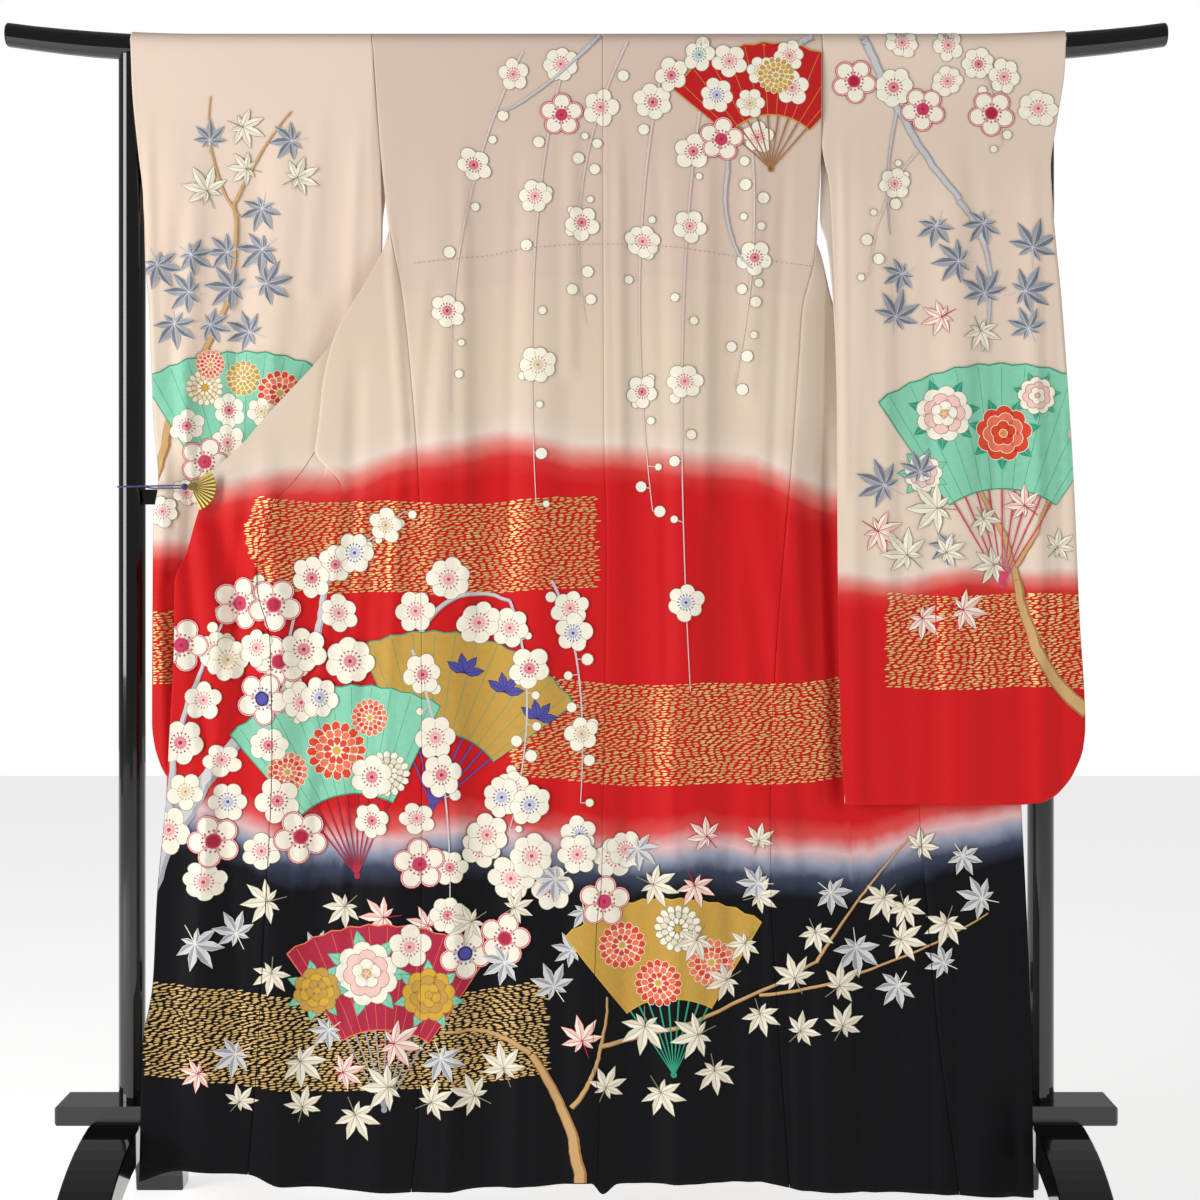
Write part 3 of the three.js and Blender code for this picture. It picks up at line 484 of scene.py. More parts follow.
def folded_front(side, drops):
    """Rows of an opened front: across from the side seam, round its pleat, to its inner edge."""
    out, drop = OUT[side], drops[:, None]
    start = SIDE_SEAM[side](drop) + out * mix(0, 0.8, ramp(170, 280, drop))
    end = np.where(drop < OVERLAP_TOP, FREE_EDGE[side](drop), OVERLAP_SEAM[side](drop) - out * SEAM / 2)
    opened = pleat_ends(drop)
    ridge = mix(RIDGE[side](drop), mix(start, end, 0.55), opened)
    pocket = mix(POCKET[side](drop), mix(start, end, 0.8), opened)
    turns = [np.radians(ridge_turn(side, drop)), np.radians(pocket_turn(drop))]
    (rx, ry), (px, py) = [(-out * PLEAT * np.cos(t), PLEAT * np.sin(t)) for t in turns]
    ridge_y = ry + PUSH[side](drop)
    pocket_y = ridge_y + ry + py
    angles = np.radians(np.linspace(0, 180, ARC_CELLS + 1))

    def run(from_x, from_y, to_x, to_y, places):
        return mix(from_x, to_x, places), mix(from_y, to_y, places)

    def turn(x, y, step_x, step_y, bulge):
        a = angles[1:]
        return x - step_x * np.cos(a) + bulge * step_y * np.sin(a), y - step_y * np.cos(a)

    parts = [
        run(start, 0 * start, ridge - rx, ridge_y - ry, crowded(VISIBLE)),
        turn(ridge, ridge_y, rx, ry, out),
        run(ridge + rx, ridge_y + ry, pocket - px, pocket_y - py, np.linspace(0, 1, UNDER + 1)[1:]),
        turn(pocket, pocket_y, px, py, -out),
        run(pocket + px, pocket_y + py, end, pocket_y + py, crowded(LAST_RUN)[1:]),
    ]
    x = np.concatenate([part[0] + 0 * drop for part in parts], 1)
    layer = np.concatenate([part[1] + 0 * drop for part in parts], 1)
    sewn = groove(np.abs(x - start)) * ramp(ARMHOLE[side] - 10, ARMHOLE[side] + 30, drop)
    sewn = sewn + groove(np.abs(x - end)) * ramp(*SEAM_SHOWS, drop)
    return hung(x, front_depth(side, x, drop) + layer + sewn, np.broadcast_to(drop, x.shape)), x


ALLOWANCE = 9
ALLOWANCE_LIFT = 1.2


def allowances(side, wall):
    """Seam allowances pressed flat behind the body's seams, as (points, colour) grids."""
    lines = [
        (ARMHOLE[side] + 12, SIDE_SEAM[side], near_depth),
        (PLEAT_OPENS[1] + 10, OVERLAP_SEAM[side], lambda x, drop: front_depth(side, x, drop)),
    ]
    if side == "left":
        lines.insert(0, (40, CENTRE_SEAM, near_depth))
    grids = []
    for first, seam, depth in lines:
        drops = steps(first, LAST_DROP - 4)[:, None]
        middle = seam(drops)
        x = middle + np.linspace(-ALLOWANCE, ALLOWANCE, 4)
        y = np.maximum(depth(x, drops), depth(middle, drops)) + wall + ALLOWANCE_LIFT
        grids.append((hung(x, y, np.broadcast_to(drops, x.shape)), body_dye(x, drops)))
    return grids


def body_panel(side, wall):
    """One strip from the back hem, over the shoulder, to the front hem."""
    out = OUT[side]
    places = crowded(BODY_CELLS)
    drops = steps(LAST_DROP, FIRST_DROP)[:, None]
    middle = CENTRE_SEAM(drops) + out * SEAM / 2
    edge = SIDE_SEAM[side](drops)
    x = mix(edge, middle, places)
    seams = groove(np.abs(x - middle)) + groove(np.abs(x - edge))
    back = hung(x, near_depth(x, drops) + seams * clear_of_rail(drops), np.broadcast_to(drops, x.shape))
    neck = mix(CENTRE_SEAM(0) + out * SEAM / 2, FREE_EDGE[side](0), ramp(NECK_ANGLE, 90, CREST))
    crest = on_rail(mix(SIDE_SEAM[side](0), neck[:, None], places), CREST[:, None])
    front_drops = steps(FIRST_DROP, LAST_DROP)
    front, front_x = folded_front(side, front_drops)
    grid = np.concatenate([back, crest, front])
    dye = np.concatenate([
        # the back's dye, with painted shade in a band below the tuck
        body_dye(x, drops) - tuck_shade(x, drops), np.zeros(crest.shape[:2]),
        body_dye(front_x, front_drops[:, None])])
    cells = grid_cells(*grid.shape[:2])
    if side == "right":
        cells = cells[:, ::-1]
    parts = [(grid.reshape(-1, 3), cells, flat_places(grid, places * BODY_WIDTH), dye.ravel())]
    for strip, shade in allowances(side, wall):
        strip_cells = grid_cells(*strip.shape[:2])[:, ::-1]
        parts.append((strip.reshape(-1, 3), strip_cells, flat_places(strip, np.zeros(4)), shade.ravel()))
    firsts = np.cumsum([0] + [len(part[0]) for part in parts])
    cells = np.concatenate([part[1] + first for part, first in zip(parts, firsts)])
    points, cut, dye = (np.concatenate([part[k] for part in parts]) for k in (0, 2, 3))
    return points, cells, cut, dye


TUCK = curve(table(
    "x drop", (-251, 341), (-145, 330), (-84, 319), (26, 313), (117, 317), (168, 324), (233, 333),
    (322, 345)), "drop", "x")
# the tuck's fold lies this far below its stitching, and the painted shade reaches down to it
TUCK_DEPTH = 42


def tuck_shade(x, drop):
    """Painted shade in a band below the tuck sewn under the back: the pink is deepened a little, down to its
    fold.
    """
    below = drop - TUCK(x)
    return 0.75 * ramp(0, 5, below) * (1 - ramp(TUCK_DEPTH - 4, TUCK_DEPTH + 4, below))


OVERLAP_COLUMNS = 22


def overlap_panel(side):
    """The narrow panel between a front and the collar."""
    out = OUT[side]
    first = OVERLAP_TOP + 14
    drops = steps(first, LAST_DROP)[:, None]
    seam = OVERLAP_SEAM[side](drops) + out * SAFE_SEAM
    edge = np.maximum(out * FREE_EDGE[side](drops), out * seam + 6) * out
    wide = mix(seam + out * 6, edge, ramp(OVERLAP_TOP - 1, OVERLAP_TOP + 30, drops))
    places = crowded(OVERLAP_COLUMNS)
    x = mix(seam, wide, places)
    y = rear_layer(side, x, drops) + groove(np.abs(x - seam)) * ramp(*SEAM_SHOWS, drops)
    grid = hung(x, y, np.broadcast_to(drops, x.shape))
    cells = grid_cells(*grid.shape[:2])
    if side == "right":
        cells = cells[:, ::-1]
    return grid.reshape(-1, 3), cells, flat_places(grid, places * OVERLAP_WIDTH), body_dye(x, drops).ravel()


ARC = DRAPE * math.pi / 2
NECK_LINE = table(
    "x length", (-52, 38), (-36, 25), (-10, 15.5), (24, 12.6), (58, 15.5), (84, 25), (100, 38))


def collar_place(x, length):
    """A point on the collar, behind the fronts, from the length of cloth past the top of the rail."""
    side = np.where(x < CENTRE_SEAM(0), 0, 1)
    drop = FIRST_DROP + length - ARC
    lap = mix(NECK_LAP, COLLAR_LAP, ramp(60, 200, drop))
    behind = [hung(x, rear_layer(name, x, drop) + lap, drop) for name in SIDES]
    hanging = np.where(side[..., None] == 0, *behind)
    over = on_rail(x, 90 * length / ARC, DRAPE + NECK_LAP)
    return np.where((length < ARC)[..., None], over, hanging)


def collar_band():
    """The collar, up one free edge, round the back of the neck and down the other."""
    drops = steps(60, NOTCH_DROP)
    lengths = drops - FIRST_DROP + ARC
    left = np.stack([FREE_EDGE["left"](drops), lengths], -1)[::-1]
    right = np.stack([FREE_EDGE["right"](drops), lengths], -1)
    neck_x = np.linspace(-50, 98, 24)
    neck = np.stack([neck_x, curve(NECK_LINE, "length", "x")(neck_x)], -1)
    line = np.concatenate([left, neck, right])
    along = unit(np.gradient(line, axis=0))[:, None]
    reach = np.linspace(0, COLLAR_WIDTH, 11)
    x = line[:, None, 0] - along[..., 1] * reach
    length = line[:, None, 1] + along[..., 0] * reach
    grid = collar_place(x, length)
    drop = np.maximum(0, TOP - grid[..., 2])
    return (grid.reshape(-1, 3), grid_cells(*grid.shape[:2]), flat_places(grid, reach),
            body_dye(x, drop).ravel())


SLEEVE_COLUMNS = 46
ROUNDED_END = 63
# a sleeve's sewn edge closes over this much drop
CLOSES_OVER = 30


def sleeve_front(side, x, drop):
    """Depth of a sleeve's near layer."""
    if side == "left":
        hang = -DRAPE + 2.5 * ramp(60, 300, drop) - 10 * ramp(400, 1100, drop)
    else:
        hang = mix(-DRAPE, -DRAPE - lean(drop) - 5, ramp(FIRST_DROP, 250, drop))
    folds = fold_depth(SLEEVE_FOLDS[side], x, drop) + fold_depth(SLEEVE_CREASES[side], x, drop)
    return hang + folds * clear_of_rail(drop)


def sleeve_gap(side, drop):
    return mix(9.5, 13, ramp(700, 900, drop)) if side == "left" else 11 + 0 * drop


def layer_gap(side, x, drop):
    """Half the space between a sleeve's layers: in full, and as it closes round at the sewn edges."""
    outer, sewn_from = SLEEVE_EDGE[side]["outer"], SLEEVE_SEWN[side]
    slope = (outer(drop + 1) - outer(drop - 1)) / 2
    full = sleeve_gap(side, drop) / 2
    inside = np.minimum(np.abs(outer(drop) - x) / np.sqrt(1 + slope ** 2), SLEEVE_END - drop)
    rounded = full * np.sqrt(np.clip(1 - (1 - np.minimum(inside / full, 1)) ** 2, 0, 1))
    return full, mix(full + 0 * inside, rounded, ramp(sewn_from, sewn_from + CLOSES_OVER, drop))


def sleeve_face(side, x, drop):
    full, near_gap = layer_gap(side, x, drop)
    return sleeve_front(side, x, drop) + full - near_gap


SLEEVE_REAR = {"left": (60, 250), "right": (75, 205)}


def sleeve_panel(side):
    """One strip folded over the rail, its layers sewn below the cuff and along the bottom."""
    out, edge = OUT[side], SLEEVE_EDGE[side]
    sewn_from = SLEEVE_SEWN[side]
    closed = sewn_from + CLOSES_OVER
    upper = steps(FIRST_DROP, SLEEVE_END - ROUNDED_END)
    closed_row = int(np.searchsorted(upper, closed))
    lower = SLEEVE_END - ROUNDED_END * (1 - np.sin(np.linspace(0, np.pi / 2, 15)))[1:]
    drops = np.concatenate([upper, lower])[:, None]
    places = crowded(SLEEVE_COLUMNS, 0.75)

    def beside(free, drop):
        body = SIDE_SEAM[side](drop) + out * SAFE_SEAM
        return mix(body, free, ramp(150, 220, drop))

    x = mix(beside(edge["inner"](drops), drops), edge["outer"](drops), places)
    rear_edge = mix(edge["rear_outer"](drops), edge["outer"](drops), ramp(sewn_from - 12, sewn_from, drops))
    rear_x = mix(beside(edge["rear_inner"](drops), drops), rear_edge, places)
    full, rear_gap = layer_gap(side, rear_x, drops)
    seam = groove(np.abs(x - SIDE_SEAM[side](drops))) * (1 - ramp(200, 260, drops))
    y = sleeve_face(side, x, drops) + seam
    low, high = SLEEVE_REAR[side]
    rear_y = mix(DRAPE, sleeve_front(side, rear_x, drops) + full + rear_gap, ramp(low, high, drops))
    near = hung(x, y, np.broadcast_to(drops, x.shape))
    rear = hung(rear_x, rear_y, np.broadcast_to(drops, x.shape))
    crest_x = mix(SIDE_SEAM[side](0) + out * SAFE_SEAM, edge["outer"](0), places)
    crest = on_rail(np.broadcast_to(crest_x, (len(CREST), len(places))), CREST[:, None])
    grid = np.concatenate([near[::-1], crest, rear])
    rows, columns = grid.shape[:2]
    index = np.arange(rows * columns).reshape(rows, columns)
    count = len(drops)
    first_rear = count + len(CREST)
    for row in range(closed_row, count):
        index[first_rear + row, -1] = index[count - 1 - row, -1]
    index[-1] = index[0]
    cells = np.stack([index[:-1, :-1], index[:-1, 1:], index[1:, 1:], index[1:, :-1]], -1).reshape(-1, 4)
    if side == "left":
        cells = cells[:, ::-1]
    flat_dye = np.concatenate([
        sleeve_dye(side, x, drops)[::-1], np.full(crest.shape[:2], SLEEVE_GROUND),
        sleeve_dye(side, rear_x, drops)])
    used, cells = np.unique(cells, return_inverse=True)
    cut = flat_places(grid, places * SLEEVE_WIDTH)[used]
    return grid.reshape(-1, 3)[used], cells.reshape(-1, 4), cut, flat_dye.ravel()[used]


# ---------- dyed motifs ----------
TONES = {
    "cream": "#F4EDDB", "ivory": "#E4DAC2", "line": "#8F8A74", "pink": "#E6929F", "rose": "#CF4069",
    "crimson": "#AE1F3C", "blush": "#F2C4BA", "yellow": "#D6A836", "violet": "#4E4CA4", "navy": "#1F2244",
    "mint": "#86CDAD", "jade": "#2C9878", "vermilion": "#DB4222", "coral": "#EC7553", "ochre": "#C39A42",
    "bough": "#C9C6C8", "shade": "#A3A0A5", "twig": "#DCC8C3", "tan": "#CBA46C", "brown": "#A57445",
    "slate": "#9C9EA4", "deep slate": "#70747E", "mist": "#CFD1D8", "red": "#BF1519",
    "gold leaf": "#DCB672",
}
TONE_NAMES = list(TONES)
# motifs lie LIFT above the cloth, and each tone a LEVEL above what it covers
LIFT = 1.2
LEVEL = 0.05
CHART_CELL = 6
CHART_LEFT = 720
CHART_ROWS = 300
# motifs are cut into upright strips, then halved until they lie within BEND of the face
STRIP = 7
BEND = 0.04
HALVINGS = 7
# weights of fifteen places spread over a triangle
SPREAD = np.array([(i, j, 4 - i - j) for i in range(5) for j in range(5 - i)]) / 4


def compass(angle, reach=1):
    """Steps (x, drop) at angles that turn from +x towards the rail."""
    return np.stack([np.cos(angle) * reach, -np.sin(angle) * reach], -1)


def around(count, phase=0.0):
    return phase + 2 * np.pi * np.arange(count) / count


def sweep(*points, count=30):
    """A smooth path through three points, which bends towards the middle one."""
    t = np.linspace(0, 1, count)[:, None]
    start, bend, end = np.array(points, float)
    return (1 - t) ** 2 * start + 2 * t * (1 - t) * bend + t * t * end


def patch(outline, rings=1, centre=None):
    """A filled shape whose middle sees its whole outline, as (points, faces)."""
    centre = outline.mean(0) if centre is None else centre
    count = len(outline)
    i = np.arange(count)
    j = (i + 1) % count
    points = [centre[None]] + [mix(centre, outline, (k + 1) / rings) for k in range(rings)]
    faces = [np.stack([0 * i, 1 + i, 1 + j], -1)]
    for inner in 1 + count * np.arange(rings - 1):
        outer = inner + count
        faces += [np.stack([inner + i, outer + i, outer + j], -1),
                  np.stack([inner + i, outer + j, inner + j], -1)]
    return np.concatenate(points), np.concatenate(faces)


def disc(centre, radius, count=12):
    return patch(np.asarray(centre) + compass(around(count), radius), 1 + int(radius > 9))


def stroke(path, start_width, end_width=None):
    """A brush stroke along a path, as (points, faces)."""
    path = np.asarray(path, float)
    widths = np.linspace(start_width, start_width if end_width is None else end_width, len(path))
    along = unit(np.gradient(path, axis=0))
    side = np.stack([-along[:, 1], along[:, 0]], -1) * widths[:, None] / 2
    i = np.arange(len(path) - 1)
    far = i + len(path)
    faces = np.concatenate([np.stack([i, i + 1, far + 1], -1), np.stack([i, far + 1, far], -1)])
    return np.concatenate([path + side, path - side]), faces


def swollen(outline, by):
    """An outline pushed out all round by a distance."""
    middle = outline.mean(0)
    return outline + unit(outline - middle) * by


class Dyework:
    """Motifs drawn in millimetres: x across the stand and drop below the top of the cloth."""

    def __init__(self, seed):
        self.chance = np.random.default_rng(seed)
        self.height = np.zeros((2 * CHART_LEFT // CHART_CELL, CHART_ROWS), int)
        self.corners, self.facts = [], []

    def lay(self, tone, shapes):
        """Lays shapes of one tone over whatever they cover."""
        corners = np.concatenate([points[faces] for points, faces in shapes])
        spots = (SPREAD @ corners).reshape(-1, 2)
        cells = ((spots + [CHART_LEFT, 0]) / CHART_CELL).astype(int)
        cells = tuple(np.clip(cells, 0, np.array(self.height.shape) - 1).T)
        level = self.height[cells].max() + 1
        self.height[cells] = level
        self.corners.append(corners)
        self.facts.append(np.tile([TONE_NAMES.index(tone), LIFT + LEVEL * level], (len(corners), 1)))

    def heart(self):
        return str(self.chance.choice(["pink", "rose", "yellow", "violet", "mint"],
                                      p=[0.5, 0.3, 0.1, 0.05, 0.05]))

    def plum(self, centre, size, heart=None, ringed=False):
        """A plum blossom: round petals and a ring of stamens. A ringed one has crimson outlines."""
        centre = np.asarray(centre, float)
        heart = heart or self.heart()
        petals = 5 if ringed else int(self.chance.choice([5, 6, 6, 7]))
        turn, half = self.chance.uniform(0, 6), np.pi / petals
        away, round_by = (0.62, 0.41) if ringed else (0.60, 0.445 if petals == 5 else 0.41)
        phi = np.linspace(-half, half, 9)
        reach = away * np.cos(phi) + np.sqrt(np.maximum(round_by ** 2 - (away * np.sin(phi)) ** 2, 0.004))
        middles = turn + 2 * half * np.arange(petals)
        tilt = compass(self.chance.uniform(0, np.pi))
        press = 0 if ringed else self.chance.uniform(0, 0.16)

        def place(angle, out):
            step = compass(angle, out * size)
            return centre + step - press * (step @ tilt)[..., None] * tilt

        def petal(angle, inset):
            arc = compass(angle + phi * (1 - inset * 1.4 / size), size * reach - inset)
            return patch(centre + np.concatenate([compass(np.array([angle]), 0.05 * size + inset), arc]), 2,
                         centre + compass(angle, 0.55 * size))

        if ringed:
            self.lay("crimson", [petal(angle, -1.6) for angle in middles])
            self.lay("blush", [petal(angle, -0.7) for angle in middles])
            self.lay("crimson", [petal(angle, 0.5) for angle in middles])
            self.lay("cream", [petal(angle, 1.4) for angle in middles])
            self.lay("navy" if heart == "violet" else "rose", [disc(centre, size * 0.3, 14)])
            self.lay(heart, [disc(centre, size * 0.23, 12)])
            self.lay("cream", [disc(centre, size * 0.07, 7)])
        else:
            waver_out = np.repeat(self.chance.uniform(0.93, 1.07, petals), 8)
            angles, outs = (middles[:, None] + phi[:-1]).ravel(), np.tile(reach[:-1], petals) * waver_out
            self.lay("line", [patch(place(angles, outs), 2)])
            self.lay("cream", [patch(place(angles, outs - 0.8 / size), 2)])
            self.lay("line", [stroke(place(angle + half + np.array([0.1, 0.03, 0]),
                                           np.array([0.36, 0.55, 0.74])), 0.5) for angle in middles])
            glow = {"pink": "blush", "rose": "pink", "yellow": "ivory"}.get(heart, "mist")
            self.lay(glow, [disc(centre, size * 0.27, 12)])
        dark = {"yellow": "ochre", "mint": "jade", "pink": "rose", "violet": "violet"}.get(heart, "crimson")
        tips = [place(a, np.array([0.15, 0.42])) for a in around(15, turn)]
        self.lay(dark, [stroke(tip, 0.5) for tip in tips] + [disc(tip[1], size * 0.045, 5) for tip in tips]
                 + [disc(centre, size * 0.09, 8)])

    def buds(self, places, low=5.5, high=9.5):
        sizes = self.chance.uniform(low, high, len(places))
        self.lay("line", [disc(place, size, 10) for place, size in zip(places, sizes)])
        self.lay("cream", [disc(place, size - 0.8, 10) for place, size in zip(places, sizes)])

    def strand(self, path, blooms, size, tone="twig", width=3.4):
        """A hanging shoot with buds and blossoms along it."""
        self.lay(tone, [stroke(path, width, 1.2)])
        places = [path[k] + compass(np.pi * (k // 2 % 2) + self.chance.uniform(-0.5, 0.5),
                                    self.chance.uniform(10, 16))
                  for k in range(3, len(path), 2) if self.chance.random() < 0.55]
        self.lay(tone, [stroke([path[np.hypot(*(path - place).T).argmin()], place], 1.3)
                        for place in places])
        self.buds(places)
        for share in (np.arange(blooms) + self.chance.uniform(0.1, 0.6, blooms)) / blooms:
            self.plum(path[int(share * (len(path) - 1))] + self.chance.normal(0, 5, 2),
                      size * self.chance.uniform(0.85, 1.1))

    def bough(self, path, width, end_width, tone="bough", edge="shade"):
        """An old branch with knots, darker along its lower side."""
        turns = np.convolve(self.chance.normal(0, 0.3, len(path) + 4), np.ones(5) / 5, "valid")
        path = path + compass(np.full(len(path), self.chance.uniform(0, 6)), turns * width)
        self.lay(edge, [stroke(path, width, end_width)])
        self.lay(tone, [stroke(path - 0.07 * width, 0.74 * width, 0.66 * end_width)])

    def maple(self, centre, size, kind, turn):
        """A leaf of seven pointed lobes, each half light and half dark."""
        light, dark, edge = {
            "snow": ("cream", "ivory", "line"), "rose": ("cream", "blush", "crimson"),
            "slate": ("slate", "deep slate", "mist"), "mist": ("mist", "slate", "cream")}[kind]
        centre = np.asarray(centre, float)
        bends = np.array([0, 0.42, 0.26, 0, -0.26, -0.42])
        outs = np.array([0, 0.36, 0.6, 1, 0.6, 0.36])
        lobes = [centre + compass(turn + math.radians(lobe) + bends, outs * length * size)
                 for lobe, length in zip((-136, -91, -46, 0, 46, 91, 136),
                                         (0.52, 0.8, 0.95, 1, 0.95, 0.8, 0.52))]
        stem = centre + compass(turn + np.pi + self.chance.uniform(-0.2, 0.2),
                                np.linspace(0, 0.7, 4) * size)
        self.lay(edge, [patch(swollen(lobe, 0.8)) for lobe in lobes] + [stroke(stem, 1.6, 1)])
        self.lay(light, [(lobe, np.array([[0, 1, 2], [0, 2, 3]])) for lobe in lobes])
        self.lay(dark, [(lobe, np.array([[0, 3, 4], [0, 4, 5]])) for lobe in lobes])
        self.lay(edge, [stroke([centre, mix(centre, lobe[3], 0.86)], 0.9, 0.3) for lobe in lobes])

    def petal_ring(self, centre, reach, length, count, tone, edge, turn):
        bends = np.array([0, 0.8, 0.75, 0, -0.75, -0.8]) * np.pi * reach / count * 0.95
        outs = reach - length * (1 - np.array([0, 0.45, 0.82, 1.0, 0.82, 0.45]))
        petals = [centre + compass(a, outs) + compass(a + np.pi / 2, bends) for a in around(count, turn)]
        self.lay(edge, [patch(petal) for petal in petals])
        self.lay(tone, [patch(swollen(petal, -0.9)) for petal in petals])

    def chrysanthemum(self, centre, size, tone="vermilion", inner="coral", edge="cream"):
        centre, turn = np.asarray(centre, float), self.chance.uniform(0, 1)
        self.lay(edge, [disc(centre, size * 0.78, 18)])
        self.petal_ring(centre, size, size * 0.5, 16, tone, edge, turn)
        self.petal_ring(centre, size * 0.74, size * 0.42, 13, inner, edge, turn + 0.2)
        self.petal_ring(centre, size * 0.48, size * 0.34, 9, tone, edge, turn)
        self.lay("yellow", [disc(centre, size * 0.14, 9)])

    def peony(self, centre, size, tone="cream", inner="blush", edge="line", leaf="mint"):
        """Scalloped petals in rings, over jagged leaves."""
        centre = np.asarray(centre, float)
        self.leaves([(centre + compass(a, size * 0.95), a) for a in around(7, self.chance.uniform(0, 1))],
                    size * 0.5, leaf, "jade" if leaf == "mint" else "mint")
        for reach, petal, count, fill in (
                (0.72, 0.36, 9, tone), (0.48, 0.32, 7, inner), (0.26, 0.25, 5, tone), (0, 0.17, 1, inner)):
            spots = [centre + compass(a, reach * size) for a in around(count, self.chance.uniform(0, 1))]
            self.lay(edge, [disc(spot, petal * size) for spot in spots])
            self.lay(fill, [disc(spot, petal * size - 1) for spot in spots])
        self.lay("yellow", [disc(centre + compass(a, size * 0.1), size * 0.05, 5) for a in around(5)])

    def leaves(self, places, size, tone="mint", edge="jade"):
        """Pointed leaves at (centre, direction) places."""
        outs, sides = np.array([-1, -0.4, 0.3, 1, 0.3, -0.4]), np.array([0, 0.42, 0.4, 0, -0.4, -0.42])
        shapes = [spot + size * (compass(a, outs) + compass(a + np.pi / 2, sides)) for spot, a in places]
        self.lay(edge, [patch(shape, 2) for shape in shapes])
        self.lay(tone, [patch(swollen(shape, -1.2), 2) for shape in shapes])
        self.lay(edge, [stroke(shape[[0, 3]], 0.9, 0.4) for shape in shapes])

    def fan(self, pivot, size, low, high, tone, edge="ochre", ribs="brown", inner=0.44, folds=22):
        """An open folding fan: ribs that meet at the pivot, and a pleated leaf."""
        pivot = np.asarray(pivot, float)
        low, high = math.radians(low), math.radians(high)
        self.lay(ribs, [stroke(pivot + compass(a, np.linspace(0, inner * size, 9)), 1.6, 2.6)
                        for a in np.linspace(low + 0.05, high - 0.05, 9)] + [disc(pivot, 4.5)])
        angles = np.linspace(low, high, folds + 1)
        shares = np.linspace(0, 1, 2 + int(size / 16))[:, None]
        zigzag = 3 * (np.arange(folds + 1) % 2)
        grid = grid_cells(len(shares), folds + 1)
        faces = np.concatenate([grid[:, :3], grid[:, [0, 2, 3]]])
        for grow, fill in ((1.8, edge), (0, tone)):
            wider = angles + np.where(angles < angles.mean(), -1, 1) * grow / size * (
                np.abs(angles - angles.mean()) / (angles[-1] - angles.mean())) ** 8
            reach = mix(inner * size - grow, size + grow + zigzag, shares)
            self.lay(fill, [((pivot + compass(wider, reach)).reshape(-1, 2), faces)])
        self.lay(edge, [stroke(pivot + compass(a, np.linspace(inner * size, size, 12)), 0.7)
                        for a in angles[1:-1:2]])

    def gold_band(self, left, right, drop, height, slant=0.0, sag=0.0):
        """A drifting band laid in short dashes of gold leaf."""
        dashes = []
        for row in np.arange(0, height, 3.4):
            x = left + slant * abs(row / height - 0.4) + self.chance.uniform(0, 9)
            while x < right:
                length = self.chance.uniform(7, 12)
                across = 2 * (x - left) / (right - left) - 1
                level = drop + row + sag * (1 - across ** 2) + 2.5 * math.sin(x / 37)
                rise = -length * self.chance.uniform(-0.04, 0.2)
                middle = np.array([x + length / 2, level + rise / 2 + self.chance.uniform(-0.7, 0.7)])
                half, thick = np.array([length, rise]) / 2, np.array([0, self.chance.uniform(0.8, 1.25)])
                ends = [-half, -half * 0.4 - thick, half * 0.5 - thick, half, half * 0.4 + thick,
                        -half * 0.5 + thick]
                dashes.append((middle + ends, np.array([[0, 1, 5], [1, 4, 5], [1, 2, 4], [2, 3, 4]])))
                x += length + self.chance.uniform(0.6, 3.2)
        self.lay("gold leaf", dashes)

    def strew(self, count, centre, spread, gap):
        """Places spread over an oval, at least a gap apart."""
        found = []
        for _ in range(count * 60):
            angle, out = self.chance.uniform(0, 2 * np.pi), math.sqrt(self.chance.uniform(0, 1))
            spot = np.array(centre) + compass(angle, out) * spread
            if len(found) < count and all(np.hypot(*(spot - other)) > gap for other in found):
                found.append(spot)
        return found

    def plums(self, count, centre, spread, gap=42, size=24, ringed=0.0):
        for spot in self.strew(count, centre, spread, gap):
            if self.chance.random() < ringed:
                heart = str(self.chance.choice(["rose", "violet", "crimson"]))
                self.plum(spot, size * 1.15, heart, True)
            else:
                self.plum(spot, size * self.chance.uniform(0.85, 1.1))

    def maples(self, count, centre, spread, kinds, gap=36, size=30):
        for spot in self.strew(count, centre, spread, gap):
            self.maple(spot, size * self.chance.uniform(0.75, 1.12), str(self.chance.choice(kinds)),
                       self.chance.uniform(0, 2 * np.pi))

    def cut(self, edges, seams):
        """The triangles on one panel, parted at its seams and cut into strips, as (corners, facts)."""
        shapes = np.concatenate(self.corners), np.concatenate(self.facts)
        for edge in edges:
            shapes = kept(*shapes, edge(*shapes[0].swapaxes(0, 2).swapaxes(1, 2)))
        for seam in seams:
            off = shapes[0][..., 0] - seam(shapes[0][..., 1])
            halves = [kept(*shapes, off), kept(*shapes, -off)]
            halves = [kept(*half, np.abs(half[0][..., 0] - seam(half[0][..., 1])) - SEAM) for half in halves]
            shapes = joined(halves)
        return in_strips(*shapes)


def joined(parts):
    return tuple(np.concatenate(group) for group in zip(*parts))


def kept(corners, facts, value):
    """Triangles (n, 3, 2) cut to where the value at their corners is above 0."""
    inside = (value > 0).sum(1)
    parts = [(corners[inside == 3], facts[inside == 3])]
    for count in (1, 2):
        some = inside == count
        lone = np.argmax((value[some] > 0) if count == 1 else (value[some] <= 0), 1)
        order = (lone[:, None] + np.arange(3)) % 3
        a, b, c = np.take_along_axis(corners[some], order[..., None], 1).swapaxes(0, 1)
        at_a, at_b, at_c = np.take_along_axis(value[some], order, 1).T[..., None]
        cut_b, cut_c = mix(a, b, at_a / (at_a - at_b)), mix(a, c, at_a / (at_a - at_c))
        pieces = [(a, cut_b, cut_c)] if count == 1 else [(cut_b, b, c), (cut_b, c, cut_c)]
        parts += [(np.stack(piece, 1), facts[some]) for piece in pieces]
    return joined(parts)


